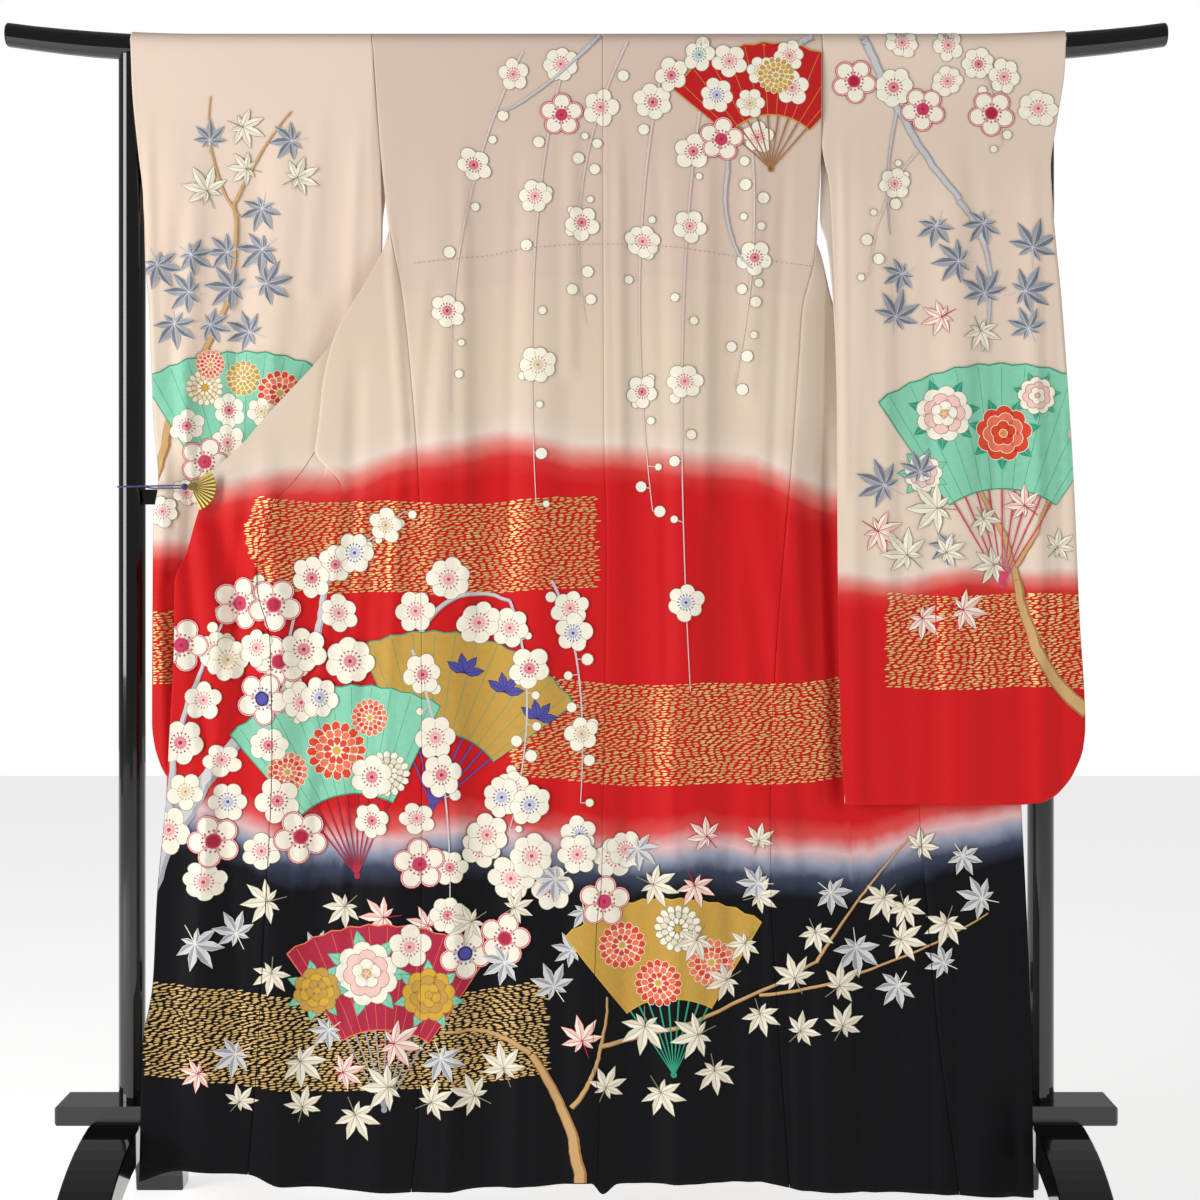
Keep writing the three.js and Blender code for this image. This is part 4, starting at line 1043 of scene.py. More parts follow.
def in_strips(corners, facts):
    """Triangles split where they cross the edges of upright strips."""
    parts = []
    while len(corners):
        x = corners[..., 0]
        line = STRIP * (np.floor(x.min(1) / STRIP + 1e-6) + 1)
        wide = x.max(1) > line + 0.01
        parts.append((corners[~wide], facts[~wide]))
        corners, facts = corners[wide], facts[wide]
        off = corners[..., 0] - line[wide][:, None]
        parts.append(kept(corners, facts, -off))
        corners, facts = kept(corners, facts, off)
    return joined(parts)


def back_motifs():
    """Weeping plum on the back, and flowers, fans and maple towards the hem."""
    d = Dyework(7)
    d.gold_band(-500, 12, 680, 130, 50, 10)
    d.gold_band(-120, 420, 938, 146, 20, 14)
    d.gold_band(-640, -60, 1376, 136, 0, 26)
    # hanging shoots
    for path, blooms in (
            (((-92, 30), (-205, 250), (-196, 560)), 3), (((-30, 44), (-96, 260), (-72, 690)), 3),
            (((60, 16), (-40, 220), (0, 430)), 2), (((110, 60), (52, 330), (96, 700)), 3),
            (((170, 90), (118, 380), (150, 960)), 4), (((232, 90), (262, 300), (214, 520)), 2)):
        d.strand(sweep(*path, count=46), blooms, 26)
    d.bough(sweep((330, 10), (210, 60), (205, 205)), 10, 6)
    d.bough(sweep((205, 205), (190, 300), (240, 350)), 6, 3)
    d.bough(sweep((20, 6), (-60, 90), (-120, 120)), 6, 3)
    # a red fan with flowers at the shoulder
    d.fan((268, 204), 184, 46, 140, "red")
    d.plums(9, (206, 66), (112, 50), 42, 25, 0.35)
    d.chrysanthemum((276, 66), 28, "ochre", "yellow")
    d.plum((196, 160), 31, "rose", True)
    d.plum((-36, 124), 30, "rose", True)
    # plum boughs from the left side, over two fans
    d.bough(sweep((-640, 1330), (-610, 1130), (-480, 1010)), 30, 18)
    d.bough(sweep((-480, 1010), (-380, 930), (-372, 780)), 18, 8)
    d.bough(sweep((-490, 1016), (-330, 1060), (-250, 900)), 13, 7)
    d.bough(sweep((-250, 900), (-206, 790), (-110, 830)), 8, 5)
    d.bough(sweep((-600, 1180), (-610, 1040), (-540, 900)), 13, 5)
    d.fan((-222, 1126), 250, 36, 114, "ochre", "jade", "violet")
    for spot in ((-176, 934), (-118, 962), (-70, 1000)):
        d.leaves([(np.array(spot) + compass(a, 15), a) for a in (0.1, 0.9, 1.7, 2.5)], 15, "violet", "navy")
    d.fan((-330, 1226), 272, 64, 132, "mint", "jade", "crimson")
    for path, blooms in (
            (((-110, 830), (-60, 960), (-110, 1160)), 3), (((-250, 900), (-190, 1060), (-196, 1290)), 3),
            (((-372, 780), (-330, 760), (-262, 700)), 3), (((-540, 900), (-520, 840), (-486, 800)), 2),
            (((-50, 800), (6, 900), (-8, 1120)), 3), (((-420, 850), (-440, 930), (-430, 1000)), 1)):
        d.strand(sweep(*path), blooms, 30, "bough", 4.2)
    d.chrysanthemum((-360, 1046), 44)
    d.chrysanthemum((-286, 1078), 34, "cream", "ivory", "line")
    d.chrysanthemum((-430, 1076), 30, "coral", "vermilion")
    d.chrysanthemum((-312, 998), 28, "coral", "vermilion")
    d.plums(13, (-506, 960), (96, 130), 56, 32, 0.35)
    d.plums(9, (-390, 880), (90, 90), 62, 32, 0.15)
    d.plums(9, (-510, 1160), (100, 80), 58, 32, 0.35)
    d.plums(10, (-220, 1130), (110, 80), 60, 31, 0.15)
    d.plums(10, (-60, 1180), (110, 70), 60, 31, 0.12)
    d.plums(5, (-200, 830), (80, 50), 66, 31)
    # a red fan with peonies near the left hem
    d.maples(14, (-400, 1310), (190, 60), ["snow", "rose", "mist", "slate"], 58, 40)
    d.fan((-290, 1560), 262, 56, 122, "crimson", "coral", "slate")
    d.peony((-316, 1366), 44)
    d.peony((-226, 1396), 36, "yellow", "ochre", "brown")
    d.peony((-388, 1392), 32, "ochre", "yellow", "brown")
    d.plums(5, (-186, 1322), (70, 46), 60, 31, 0.5)
    d.maples(20, (-330, 1512), (230, 66), ["snow", "snow", "rose", "mist"], 58, 40)
    d.maples(9, (-80, 1310), (90, 90), ["snow", "mist"], 56, 38)
    # a brown tree, a gold fan and maple in the middle of the hem
    d.bough(sweep((-6, 1690), (-20, 1560), (-80, 1480)), 19, 11, "tan", "brown")
    d.bough(sweep((-80, 1480), (-130, 1440), (-210, 1450)), 9, 3, "tan", "brown")
    d.bough(sweep((-20, 1560), (30, 1500), (30, 1400)), 8, 3, "tan", "brown")
    d.bough(sweep((22, 1470), (180, 1440), (330, 1350)), 7, 4, "tan", "brown")
    d.bough(sweep((250, 1398), (420, 1380), (580, 1280)), 5, 2, "tan", "brown")
    d.bough(sweep((330, 1350), (400, 1250), (470, 1170)), 5, 2, "tan", "brown")
    d.fan((126, 1510), 250, 60, 128, "ochre", "yellow", "jade")
    for spot, tones in (((52, 1326), ()), ((132, 1300), ("cream", "ivory", "line")),
                        ((104, 1380), ("vermilion", "coral")), ((180, 1350), ("coral", "vermilion"))):
        d.chrysanthemum(spot, 35, *tones)
    d.plum((26, 1262), 35, "rose", True)
    d.plums(5, (0, 1190), (80, 40), 60, 31)
    d.maples(19, (330, 1345), (190, 110), ["snow", "mist", "snow"], 56, 38)
    d.maples(8, (168, 1205), (120, 44), ["snow", "rose", "mist"], 54, 35)
    d.maples(8, (90, 1490), (120, 50), ["snow", "rose"], 56, 40)
    d.maples(5, (500, 1250), (80, 80), ["mist", "snow"], 56, 35)
    thread = np.arange(-250, 330, 7.0)
    d.lay("line", [stroke([place, place + [2.8, 0]], 0.9)
                   for place in np.stack([thread, TUCK(thread)], -1)])
    return d


def left_sleeve_motifs():
    d = Dyework(21)
    d.gold_band(-640, -560, 846, 104)
    d.bough(sweep((-648, 760), (-628, 600), (-560, 470)), 15, 10, "tan", "brown")
    d.bough(sweep((-560, 470), (-500, 380), (-512, 250)), 9, 5, "tan", "brown")
    d.bough(sweep((-512, 250), (-470, 160), (-430, 118)), 5, 2, "tan", "brown")
    d.bough(sweep((-508, 270), (-560, 190), (-548, 96)), 4, 2, "tan", "brown")
    d.maples(9, (-490, 190), (84, 80), ["snow", "snow", "slate"], 50, 37)
    d.maples(12, (-540, 370), (90, 90), ["slate", "rose", "slate"], 50, 40)
    d.fan((-500, 742), 272, 56, 122, "mint", "jade", "crimson")
    d.chrysanthemum((-556, 520), 27, "cream", "ivory", "ochre")
    d.chrysanthemum((-500, 506), 27, "ochre", "yellow")
    d.chrysanthemum((-446, 528), 34)
    d.chrysanthemum((-548, 486), 22, "coral", "vermilion")
    d.plums(5, (-530, 572), (66, 40), 46, 27, 0.2)
    d.plum((-556, 628), 34, "rose", True)
    d.plums(2, (-600, 684), (24, 24), 40, 26)
    return d


def right_sleeve_motifs():
    d = Dyework(33)
    d.gold_band(428, 716, 822, 136)
    d.bough(sweep((404, 8), (452, 130), (540, 250)), 13, 9)
    d.bough(sweep((540, 250), (610, 330), (572, 470)), 9, 4)
    d.bough(sweep((452, 120), (430, 210), (440, 300)), 5, 2)
    d.strand(sweep((480, 180), (420, 240), (408, 360), count=20), 1, 25)
    d.strand(sweep((560, 30), (600, 90), (604, 170), count=16), 1, 25)
    d.bough(sweep((722, 990), (640, 930), (622, 800)), 22, 13, "tan", "brown")
    d.bough(sweep((622, 800), (600, 700), (540, 640)), 11, 5, "tan", "brown")
    d.bough(sweep((620, 780), (670, 700), (676, 640)), 8, 3, "tan", "brown")
    d.plums(8, (480, 66), (96, 52), 50, 27, 0.25)
    d.plums(3, (620, 96), (46, 36), 56, 28, 0.5)
    d.maples(13, (550, 370), (124, 96), ["slate", "snow", "rose", "slate"], 54, 40)
    d.fan((600, 806), 316, 56, 124, "mint", "jade", "rose")
    d.peony((516, 560), 38, leaf="jade")
    d.peony((602, 588), 38, "vermilion", "coral", "cream", "jade")
    d.peony((650, 534), 26, leaf="jade")
    d.peony((486, 646), 26)
    d.maples(7, (470, 706), (70, 66), ["slate", "rose", "snow"], 54, 40)
    d.maples(6, (600, 740), (90, 56), ["snow", "rose"], 54, 38)
    d.maples(3, (500, 850), (60, 40), ["snow", "rose"], 56, 40)
    return d


def depth_on(depth, x, drop):
    """Depth of the face, which is taken as straight across each strip."""
    strip = STRIP * np.floor(x / STRIP)
    return mix(depth(strip, drop), depth(strip + STRIP, drop), (x - strip) / STRIP)


def settled(corners, facts, depth):
    """Triangles halved across their worst edge until they lie close to the face."""
    parts = []
    for _ in range(HALVINGS):
        middles = (corners + corners[:, [1, 2, 0]]) / 2
        level = depth_on(depth, *np.moveaxis(corners, 2, 0))
        off = np.abs(depth_on(depth, *np.moveaxis(middles, 2, 0)) - (level + level[:, [1, 2, 0]]) / 2)
        poor = off.max(1) > BEND
        parts.append((corners[~poor], facts[~poor]))
        order = (off[poor].argmax(1)[:, None] + np.arange(3)) % 3
        a, b, c = np.take_along_axis(corners[poor], order[..., None], 1).swapaxes(0, 1)
        corners = np.concatenate([np.stack([a, (a + b) / 2, c], 1), np.stack([(a + b) / 2, b, c], 1)])
        facts = np.tile(facts[poor], (2, 1))
    return joined([*parts, (corners, facts)])


def on_face(depth, x, drop, lift, wall):
    """Points lifted off the dyed face, round the rail and below it."""
    crown = DRAPE + wall / 2
    angle = np.arccos(np.clip(1 - drop / crown, -1, 1))
    over = np.stack([x, -(crown + lift) * np.sin(angle),
                     RAIL_Z + rail_rise(x) + (crown + lift) * np.cos(angle)], -1)
    below = hung(x, depth_on(depth, x, drop) - wall / 2 - lift, drop)
    return np.where((drop < crown)[..., None], over, below)


def motif_mesh(name, corners, facts, depth, wall):
    """One piece of dyework, which follows the folds of the cloth."""
    flat = np.concatenate([corners.reshape(-1, 2), np.repeat(facts, 3, 0)], -1)
    places, index = np.unique(np.round(flat, 3), axis=0, return_inverse=True)
    faces = index.reshape(-1, 3)
    a, b, c = (places[faces[:, k], :2] for k in range(3))
    turn = (b - a)[:, 0] * (c - a)[:, 1] - (b - a)[:, 1] * (c - a)[:, 0]
    faces = np.where((turn > 0)[:, None], faces[:, ::-1], faces)[np.abs(turn) > 0.01]
    used, faces = np.unique(faces, return_inverse=True)
    places, faces = places[used], faces.reshape(-1, 3)
    obj = make_mesh(name, on_face(depth, places[:, 0], places[:, 1], places[:, 3], wall), faces)
    mesh = obj.data
    tone = places[:, 2].astype(int)
    colours = np.array([linear(TONES[key]) for key in TONE_NAMES])
    mesh.color_attributes.new("tone", "FLOAT_COLOR", "POINT").data.foreach_set("color", colours[tone].ravel())
    leaf = tone[faces[:, 0]] == TONE_NAMES.index("gold leaf")
    mesh.polygons.foreach_set("material_index", leaf.astype(np.int32))
    loops = np.zeros(len(mesh.loops), np.int32)
    mesh.loops.foreach_get("vertex_index", loops)
    mesh.uv_layers.new(name="cut").data.foreach_set("uv", (places[loops, :2] * MM).ravel())
    mesh.update()
    return obj


def body_face(x, drop):
    """Depth of the back, and of the opened fronts beside it."""
    y = near_depth(x, drop)
    past = x > SIDE_SEAM["right"](drop)
    return y + np.where(past, set_back("right", x, drop), 0)


def body_edge(side, drop):
    """Where the near cloth of the body ends: its side seam, then its outer fold, then a seam."""
    out = OUT[side]
    return np.where(drop < ARMHOLE[side], SIDE_SEAM[side](drop),
                    np.where(drop < PLEAT_OPENS[0], RIDGE[side](drop) - out * 3, OVERLAP_SEAM[side](drop)))


# how far the motifs stay from a panel's inner, outer and lower edge
INNER_MARGIN = 0.4
OUTER_MARGIN = 0.9
LOWER_MARGIN = 2
OVERLAP_MOTIFS_FROM = 650


def dyework_pieces():
    """(name, motifs, fields above 0 on its panel, seams across it, depth of the panel's face)."""
    back = back_motifs()
    sleeves = {"left": left_sleeve_motifs(), "right": right_sleeve_motifs()}
    pieces = []
    for side in SIDES:
        out, edge, overlap, free = OUT[side], SLEEVE_EDGE[side], OVERLAP_SEAM[side], FREE_EDGE[side]

        def between(inner, outer, out=out):
            return [lambda x, drop: out * (x - inner(drop)) - INNER_MARGIN,
                    lambda x, drop: out * (outer(drop) - x) - OUTER_MARGIN]

        pieces += [
            (f"body_dyework_{side}", back,
             [*between(CENTRE_SEAM, lambda drop, side=side: body_edge(side, drop)),
              lambda x, drop: LAST_DROP - LOWER_MARGIN - drop],
             [SIDE_SEAM[side]], body_face),
            (f"overlap_dyework_{side}", back,
             [*between(overlap, free),
              lambda x, drop: np.minimum(LAST_DROP - LOWER_MARGIN - drop, drop - OVERLAP_MOTIFS_FROM)],
             [], lambda x, drop, side=side: rear_layer(side, x, drop)),
            (f"sleeve_dyework_{side}", sleeves[side],
             [*between(edge["inner"], edge["outer"]), lambda x, drop: SLEEVE_END - LOWER_MARGIN - drop],
             [], lambda x, drop, side=side: sleeve_face(side, x, drop)),
        ]
    return pieces


# ---------- materials ----------
def new_material(name, **sockets):
    """A material with its shader's own sockets set."""
    material = bpy.data.materials.new(name)
    material.use_nodes = True
    shader = material.node_tree.nodes["Principled BSDF"]
    for socket, value in sockets.items():
        shader.inputs[socket.replace("_", " ")].default_value = value
    return material, shader


def node(material, kind, links=(), **settings):
    """Adds a node. Settings with a capital letter are its sockets; links are (socket, from node, output)."""
    made = material.node_tree.nodes.new(kind)
    for key, value in settings.items():
        if key[0].isupper():
            made.inputs[key.replace("_", " ")].default_value = value
        else:
            setattr(made, key, value)
    for socket, source, output in links:
        material.node_tree.links.new(source.outputs[output], made.inputs[socket])
    return made


def link(material, source, output, target, socket):
    material.node_tree.links.new(source.outputs[output], target.inputs[socket])


def colour_stops(ramp_node, stops):
    """Fills a colour ramp from (place, sRGB hex) stops."""
    elements = ramp_node.color_ramp.elements
    elements[0].position, elements[0].color = stops[0][0], linear(stops[0][1])
    elements[1].position, elements[1].color = stops[-1][0], linear(stops[-1][1])
    for place, colour in stops[1:-1]:
        elements.new(place).color = linear(colour)


def crepe_bump(material, shader, strength=0.25):
    """Chirimen crepe: its twisted weft puckers the silk every 1.2 mm, drawn as coarse as it can show."""
    where = node(material, "ShaderNodeTexCoord")
    stretch = node(material, "ShaderNodeMapping", [("Vector", where, "UV")], Scale=(1, 0.35, 1))
    pucker = node(material, "ShaderNodeTexNoise", [("Vector", stretch, "Vector")],
                  Scale=1 / (1.2 * MM), Detail=2.0, Roughness=0.6)
    soft = node(material, "ShaderNodeTexNoise", [("Vector", where, "UV")],
                Scale=1 / (38 * MM), Detail=1.0)
    both = node(material, "ShaderNodeMath", [(0, soft, "Fac"), (1, pucker, "Fac")], operation="ADD")
    bump = node(material, "ShaderNodeBump", [("Height", both, 0)], Strength=strength,
                Distance=0.25 * MM)
    link(material, bump, "Normal", shader, "Normal")
    return where


def dyed_silk(name, stops):
    """Crepe silk with brush-shaded dye: the borders fade through white haze."""
    material, shader = new_material(
        name, Roughness=0.62, IOR=1.45, Specular_IOR_Level=0.18, Sheen_Weight=0.03,
        Sheen_Roughness=0.4, Sheen_Tint=(1, 0.93, 0.88, 1))
    where = crepe_bump(material, shader)
    dye = node(material, "ShaderNodeAttribute", attribute_name="dye")
    cloud = node(material, "ShaderNodeTexNoise", [("Vector", where, "UV")],
                 Scale=1 / (55 * MM), Detail=3.0, Roughness=0.55)
    drift = node(material, "ShaderNodeMath", [(0, cloud, "Fac")], operation="MULTIPLY_ADD")
    drift.inputs[1].default_value = CLOUDING
    drift.inputs[2].default_value = -CLOUDING / 2
    place = node(material, "ShaderNodeMath", [(0, dye, "Fac"), (1, drift, 0)], operation="ADD")
    share = node(material, "ShaderNodeMath", [(0, place, 0)], operation="DIVIDE")
    share.inputs[1].default_value = DYE_RANGE
    bands = node(material, "ShaderNodeValToRGB", [("Fac", share, 0)])
    colour_stops(bands, stops)
    link(material, bands, "Color", shader, "Base Color")
    return material


def motif_silk():
    """Paste-resist dyes brushed on crepe: flat tones, with the pucker of the ground under them."""
    material, shader = new_material(
        "yuzen dyes on crepe silk", Roughness=0.6, Specular_IOR_Level=0.25, Sheen_Weight=0.05)
    where = crepe_bump(material, shader)
    tone = node(material, "ShaderNodeVertexColor", layer_name="tone")
    wash = node(material, "ShaderNodeTexNoise", [("Vector", where, "UV")], Scale=1 / (9 * MM), Detail=2.0)
    depth = node(material, "ShaderNodeMapRange", [("Value", wash, "Fac")], To_Min=0.9, To_Max=1.06)
    shade = node(material, "ShaderNodeMix", [("A", tone, "Color")], data_type="RGBA",
                 blend_type="MULTIPLY")
    shade.inputs["Factor"].default_value = 1.0
    link(material, depth, "Result", shade, "B")
    link(material, shade, "Result", shader, "Base Color")
    return material


def gold_leaf(colour):
    """Gold leaf rubbed on the cloth: metal, dulled by the crepe under it."""
    material, shader = new_material("gold leaf on silk", Base_Color=linear(colour), Metallic=0.5)
    where = crepe_bump(material, shader, 0.4)
    worn = node(material, "ShaderNodeTexNoise", [("Vector", where, "UV")], Scale=1 / (2 * MM))
    rough = node(material, "ShaderNodeMapRange", [("Value", worn, "Fac")], To_Min=0.32, To_Max=0.6)
    link(material, rough, "Result", shader, "Roughness")
    return material


def lining_silk(colour):
    """Plain white habutae lining, smoother and duller than the crepe."""
    material, shader = new_material(
        "lining, plain woven silk", Base_Color=linear(colour), Roughness=0.62, IOR=1.5,
        Sheen_Weight=0.12, Sheen_Roughness=0.5)
    where = node(material, "ShaderNodeTexCoord")
    weave = node(material, "ShaderNodeTexNoise", [("Vector", where, "UV")], Scale=1 / (1.5 * MM))
    bump = node(material, "ShaderNodeBump", [("Height", weave, "Fac")], Strength=0.15, Distance=0.1 * MM)
    link(material, bump, "Normal", shader, "Normal")
    return material


def lacquer_material(colour):
    """Urushi lacquer, brushed and polished: near black, with sharp reflections that waver a little."""
    material, shader = new_material(
        "urushi lacquer, polished", Base_Color=linear(colour), Roughness=0.12, IOR=1.4,
        Coat_Weight=0.8, Coat_Roughness=0.03)
    where = node(material, "ShaderNodeTexCoord")
    flow = node(material, "ShaderNodeTexNoise", [("Vector", where, "Object")],
                Scale=1 / (60 * MM), Detail=1.0)
    bump = node(material, "ShaderNodeBump", [("Height", flow, "Fac")], Strength=0.06, Distance=1 * MM)
    link(material, bump, "Normal", shader, "Normal")
    return material


def brass_material(colour):
    """Gilt brass sheet, pressed into pleats and lightly worn."""
    material, shader = new_material(
        "gilt brass, pressed", Base_Color=linear(colour), Metallic=1.0, Roughness=0.28)
    where = node(material, "ShaderNodeTexCoord")
    worn = node(material, "ShaderNodeTexNoise", [("Vector", where, "Object")], Scale=1 / (4 * MM))
    rough = node(material, "ShaderNodeMapRange", [("Value", worn, "Fac")], To_Min=0.14, To_Max=0.34)
    link(material, rough, "Result", shader, "Roughness")
    return material


def cord_material(colour):
    """Twisted silk cord; its strands wind round every 3 mm."""
    material, shader = new_material(
        "silk cord, twisted", Base_Color=linear(colour), Roughness=0.6, Sheen_Weight=0.3)
    where = node(material, "ShaderNodeTexCoord")
    turn = node(material, "ShaderNodeMapping", [("Vector", where, "Object")], Rotation=(0, 0.7, 0))
    strands = node(material, "ShaderNodeTexWave", [("Vector", turn, "Vector")], Scale=1 / (3 * MM) / 6.3)
    bump = node(material, "ShaderNodeBump", [("Height", strands, "Fac")], Strength=0.5, Distance=0.3 * MM)
    link(material, bump, "Normal", shader, "Normal")
    return material


# ---------- settings ----------
def colour_setting(name, default, description):
    return bpy.props.StringProperty(name=name, default=default, description=description)


class KimonoSettings(bpy.types.PropertyGroup):
    """Sizes and colours of the garment."""
    wall: bpy.props.FloatProperty(
        name="Wall", description="Thickness of silk and lining together, in millimetres", default=WALL)
    # one dye in two copies: the body's pink and cream are painted darker as painted shade on the back, and
    # the sleeves' painted lighter as painted light
    pink: colour_setting("Pink", "#D6BFAF", "Ground of the body at the shoulders, sRGB hex")
    cream: colour_setting("Cream", "#D9C7B0", "Ground of the body above the red, sRGB hex")
    sleeve_pink: colour_setting("Sleeve pink", "#E2CBBA", "Ground of the sleeves at the shoulders, sRGB hex")
    sleeve_cream: colour_setting("Sleeve cream", "#E2D0BB", "Ground of the sleeves above the red, sRGB hex")
    red: colour_setting("Red", "#CB1418", "Middle of the garment, sRGB hex")
    black: colour_setting("Black", "#030408", "Hem, sRGB hex")
    lining: colour_setting("Lining", "#E6D8C8", "Silk lining, sRGB hex")


class StandSettings(bpy.types.PropertyGroup):
    """Colours of the stand, the clip and the cord."""
    lacquer: colour_setting("Lacquer", "#020203", "Lacquer of the stand, sRGB hex")
    gilt: colour_setting("Gilt", "#D6BC6C", "Fan clip, sRGB hex")
    cord: colour_setting("Cord", "#36266E", "Cord of the clip, sRGB hex")


class StageSettings(bpy.types.PropertyGroup):
    """Camera and light."""
    distance: bpy.props.FloatProperty(
        name="Distance", description="From the camera to the stand", default=3.5, unit="LENGTH")
    height: bpy.props.FloatProperty(
        name="Height", description="Of the camera above the floor", default=1.038, unit="LENGTH")
    lens: bpy.props.FloatProperty(
        name="Lens", description="Focal length in millimetres", default=71.6, unit="CAMERA")
    surroundings: bpy.props.FloatProperty(
        name="Surroundings", description="Strength of the light from all round", default=0.22)


# ---------- operators ----------
def lay_sheet(name, panel, materials, node_name, slot, **declared):
    """Makes one sewn piece and stands it in for its solid."""
    points, cells, cut, dye = panel
    obj = cloth_mesh(name, points, cells, cut, dye, bpy.context.scene.kimono.wall)
    for material in materials:
        obj.data.materials.append(material)
    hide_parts(node_name)
    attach(obj, "root")


def silks(part="body"):
    """The dyed silk of a part and the lining, each made once; the ground of the sleeves is painted lighter
    than the body's, painted light on the sleeves and painted shade on the back.
    """
    chosen = bpy.context.scene.kimono
    name = f"yuzen-dyed crepe silk, {part}"
    pink, cream = chosen.pink, chosen.cream
    # the sleeves take the lighter copy of the ground: painted light
    if part == "sleeves":
        pink, cream = chosen.sleeve_pink, chosen.sleeve_cream
    dyed = bpy.data.materials.get(name)
    if dyed is None:
        dyed = dyed_silk(name, [
            (0, pink), (0.3, cream), (0.375, "#E2D0C2"), (0.44, "#DC8478"),
            (0.51, "#D23230"), (0.58, chosen.red), (0.69, chosen.red), (0.74, "#D4504C"),
            (0.785, "#D9B4B4"), (0.82, "#9298AC"), (0.86, "#3A4156"), (0.91, chosen.black),
            (1, chosen.black)])
    return dyed, bpy.data.materials.get("lining, plain woven silk") or lining_silk(chosen.lining)


class KIMONO_OT_body(bpy.types.Operator):
    """Makes the left and right body, each one strip over the shoulder"""
    bl_idname = "kimono.body"
    bl_label = "Body"

    def execute(self, context):
        for side in SIDES:
            panel = body_panel(side, context.scene.kimono.wall)
            lay_sheet(f"body_panel_{side}", panel, silks(), f"body_{side}", "silk_body",
                      flat=(0.31, 3.42), area=0.99, held="draped", rests_on=["rail"])
        return {"FINISHED"}


class KIMONO_OT_overlap(bpy.types.Operator):
    """Makes the narrow overlap panels between the fronts and the collar"""
    bl_idname = "kimono.overlap"
    bl_label = "Overlap panels"

    def execute(self, context):
        for side in SIDES:
            lay_sheet(f"overlap_panel_{side}", overlap_panel(side), silks(), f"okumi_{side}",
                      "silk_body", flat=(0.155, 1.47), area=0.19, held="hung",
                      rests_on=[f"body_panel_{side}"])
        return {"FINISHED"}


class KIMONO_OT_collar(bpy.types.Operator):
    """Makes the collar band"""
    bl_idname = "kimono.collar"
    bl_label = "Collar"

    def execute(self, context):
        lay_sheet("collar_band", collar_band(), silks()[:1] * 2, "collar", "silk_collar",
                  flat=(0.055, 2.1), held="hung", rests_on=["body_panel_left", "body_panel_right"])
        return {"FINISHED"}


class KIMONO_OT_sleeves(bpy.types.Operator):
    """Makes the long hanging sleeves"""
    bl_idname = "kimono.sleeves"
    bl_label = "Sleeves"

    def execute(self, context):
        for side in SIDES:
            lay_sheet(f"sleeve_panel_{side}", sleeve_panel(side), silks("sleeves"), f"sleeve_{side}",
                      "silk_sleeve", flat=(0.345, 2.3), held="draped", rests_on=["rail"])
        return {"FINISHED"}


class KIMONO_OT_dyework(bpy.types.Operator):
    """Draws the dyed motifs, one piece for each panel"""
    bl_idname = "kimono.dyework"
    bl_label = "Dyework"

    def execute(self, context):
        dyes, leaf = motif_silk(), gold_leaf(TONES["gold leaf"])
        wall = context.scene.kimono.wall
        for name, motifs, edges, seams, depth in dyework_pieces():
            obj = motif_mesh(name, *settled(*motifs.cut(edges, seams), depth), depth, wall)
            for material in (dyes, leaf):
                obj.data.materials.append(material)
            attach(obj, "root")
        return {"FINISHED"}


def finish_node(name, material, angle=35):
    """Gives a solid that is shown as it is its finish."""
    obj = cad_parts[name]
    bpy.ops.object.select_all(action="DESELECT")
    obj.select_set(True)
    bpy.context.view_layer.objects.active = obj
    bpy.ops.object.shade_smooth_by_angle(angle=math.radians(angle))
    obj.data.materials.clear()
    obj.data.materials.append(material)


class KIMONO_OT_stand(bpy.types.Operator):
    """Finishes the lacquered stand"""
    bl_idname = "kimono.stand"
    bl_label = "Stand"

    def execute(self, context):
        lacquer = lacquer_material(context.scene.kimono_stand.lacquer)
        for name in ("rail", "post_left", "post_right", "middle_rail", "base_board", "foot_left",
                     "foot_right"):
            finish_node(name, lacquer)
        return {"FINISHED"}


class KIMONO_OT_clip(bpy.types.Operator):
    """Finishes the fan clip and the cord that hold the left front open"""
    bl_idname = "kimono.clip"
    bl_label = "Clip and cord"

    def execute(self, context):
        chosen = context.scene.kimono_stand
        finish_node("clip", brass_material(chosen.gilt), 20)
        silk_cord = cord_material(chosen.cord)
        finish_node("cord", silk_cord, 60)
        finish_node("cord_knot", silk_cord, 60)
        return {"FINISHED"}


# softboxes: name, place, width and height in metres, power in watts
LAMPS = (("key", (-3.5, -2.3, 1.9), (1.9, 2.6), 120), ("fill", (2.9, -2.7, 1.5), (0.6, 2.4), 26))
AIM_HEIGHT = 1.1
FLOOR_SIZE = 14
# the camera stands a little right of the middle, and its view is shifted down
CAMERA_X = 0.02
VIEW_SHIFT = -0.05
SENSOR_WIDTH = 36


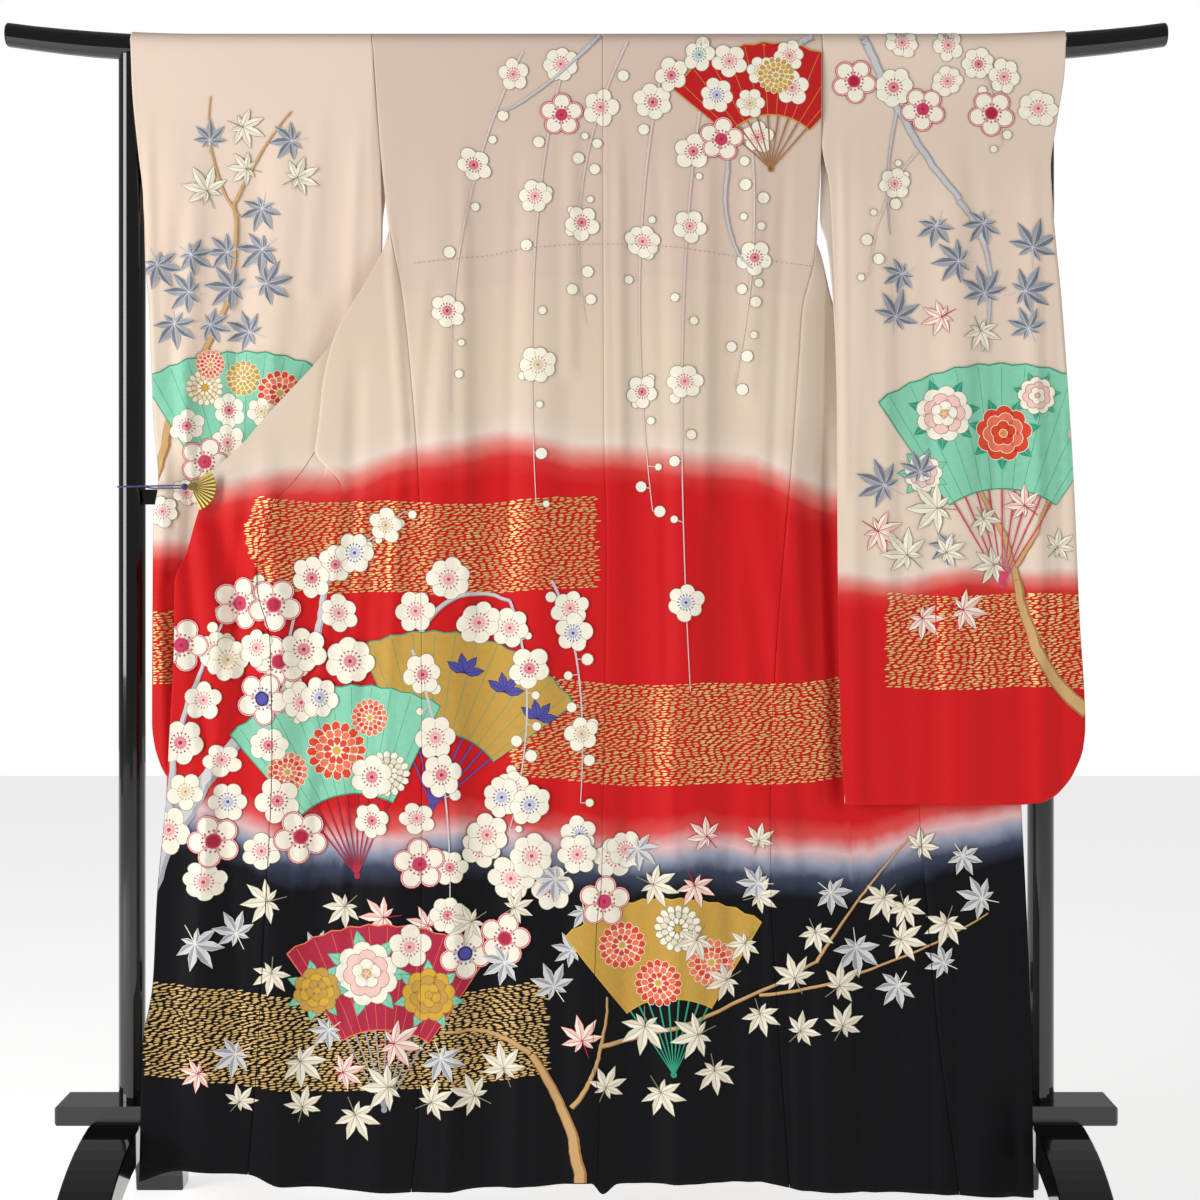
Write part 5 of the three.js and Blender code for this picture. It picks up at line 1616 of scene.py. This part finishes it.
class KIMONO_OT_stage(bpy.types.Operator):
    """Makes the floor, the lights and the camera"""
    bl_idname = "kimono.stage"
    bl_label = "Stage"

    def execute(self, context):
        chosen = context.scene.kimono_stage
        bpy.ops.object.select_all(action="DESELECT")
        bpy.ops.mesh.primitive_plane_add(size=FLOOR_SIZE, location=(0, 0, 0))
        floor = context.object
        floor.name = "studio_floor"
        paper, _ = new_material(
            "matt white paper sweep, lit from below", Base_Color=linear("#F2F2F1"), Roughness=0.9,
            Emission_Color=(1, 1, 1, 1), Emission_Strength=0.62)
        floor.data.materials.append(paper)
        for name, place, size, power in LAMPS:
            light = bpy.data.lights.new(name, "AREA")
            light.shape = "RECTANGLE"
            light.energy = power
            light.size, light.size_y = size
            lamp = bpy.data.objects.new(name, light)
            context.scene.collection.objects.link(lamp)
            lamp.location = place
            aim = -lamp.location
            aim.z += AIM_HEIGHT
            lamp.rotation_euler = aim.to_track_quat("-Z", "Y").to_euler()
        world = bpy.data.worlds.new("white studio")
        context.scene.world = world
        world.use_nodes = True
        background = world.node_tree.nodes["Background"]
        background.inputs["Color"].default_value = (1, 1, 1, 1)
        seen = world.node_tree.nodes.new("ShaderNodeLightPath")
        strength = world.node_tree.nodes.new("ShaderNodeMapRange")
        strength.inputs["To Min"].default_value = chosen.surroundings
        strength.inputs["To Max"].default_value = 1
        world.node_tree.links.new(seen.outputs["Is Camera Ray"], strength.inputs["Value"])
        world.node_tree.links.new(strength.outputs["Result"], background.inputs["Strength"])
        context.scene.view_settings.view_transform = "Standard"
        camera = bpy.data.cameras.new("camera")
        camera.lens = chosen.lens
        camera.sensor_width = SENSOR_WIDTH
        camera.shift_y = VIEW_SHIFT
        eye = bpy.data.objects.new("camera", camera)
        context.scene.collection.objects.link(eye)
        eye.location = (CAMERA_X, -chosen.distance, chosen.height)
        eye.rotation_euler = (math.pi / 2, 0, 0)
        context.scene.camera = eye
        return {"FINISHED"}


STEPS = (KIMONO_OT_stage, KIMONO_OT_stand, KIMONO_OT_clip, KIMONO_OT_dyework, KIMONO_OT_body,
         KIMONO_OT_overlap, KIMONO_OT_collar, KIMONO_OT_sleeves)


class KIMONO_PT_panel(bpy.types.Panel):
    """Lists the pieces in the sidebar"""
    bl_label = "Kimono"
    bl_idname = "KIMONO_PT_panel"
    bl_space_type = "VIEW_3D"
    bl_region_type = "UI"
    bl_category = "Kimono"

    def draw(self, context):
        for step in STEPS:
            self.layout.operator(step.bl_idname)


CLASSES = (KimonoSettings, StandSettings, StageSettings, *STEPS, KIMONO_PT_panel)
SETTINGS = {"kimono": KimonoSettings, "kimono_stand": StandSettings, "kimono_stage": StageSettings}


def register():
    for entry in CLASSES:
        bpy.utils.register_class(entry)
    for name, group in SETTINGS.items():
        setattr(bpy.types.Scene, name, bpy.props.PointerProperty(type=group))


def unregister():
    for name in SETTINGS:
        delattr(bpy.types.Scene, name)
    for entry in reversed(CLASSES):
        bpy.utils.unregister_class(entry)


def main():
    register()
    for step in STEPS:
        area, name = step.bl_idname.split(".")
        if getattr(getattr(bpy.ops, area), name)() != {"FINISHED"}:
            raise RuntimeError(f"{step.bl_label} wasn't finished")


if __name__ == "__main__":
    main()
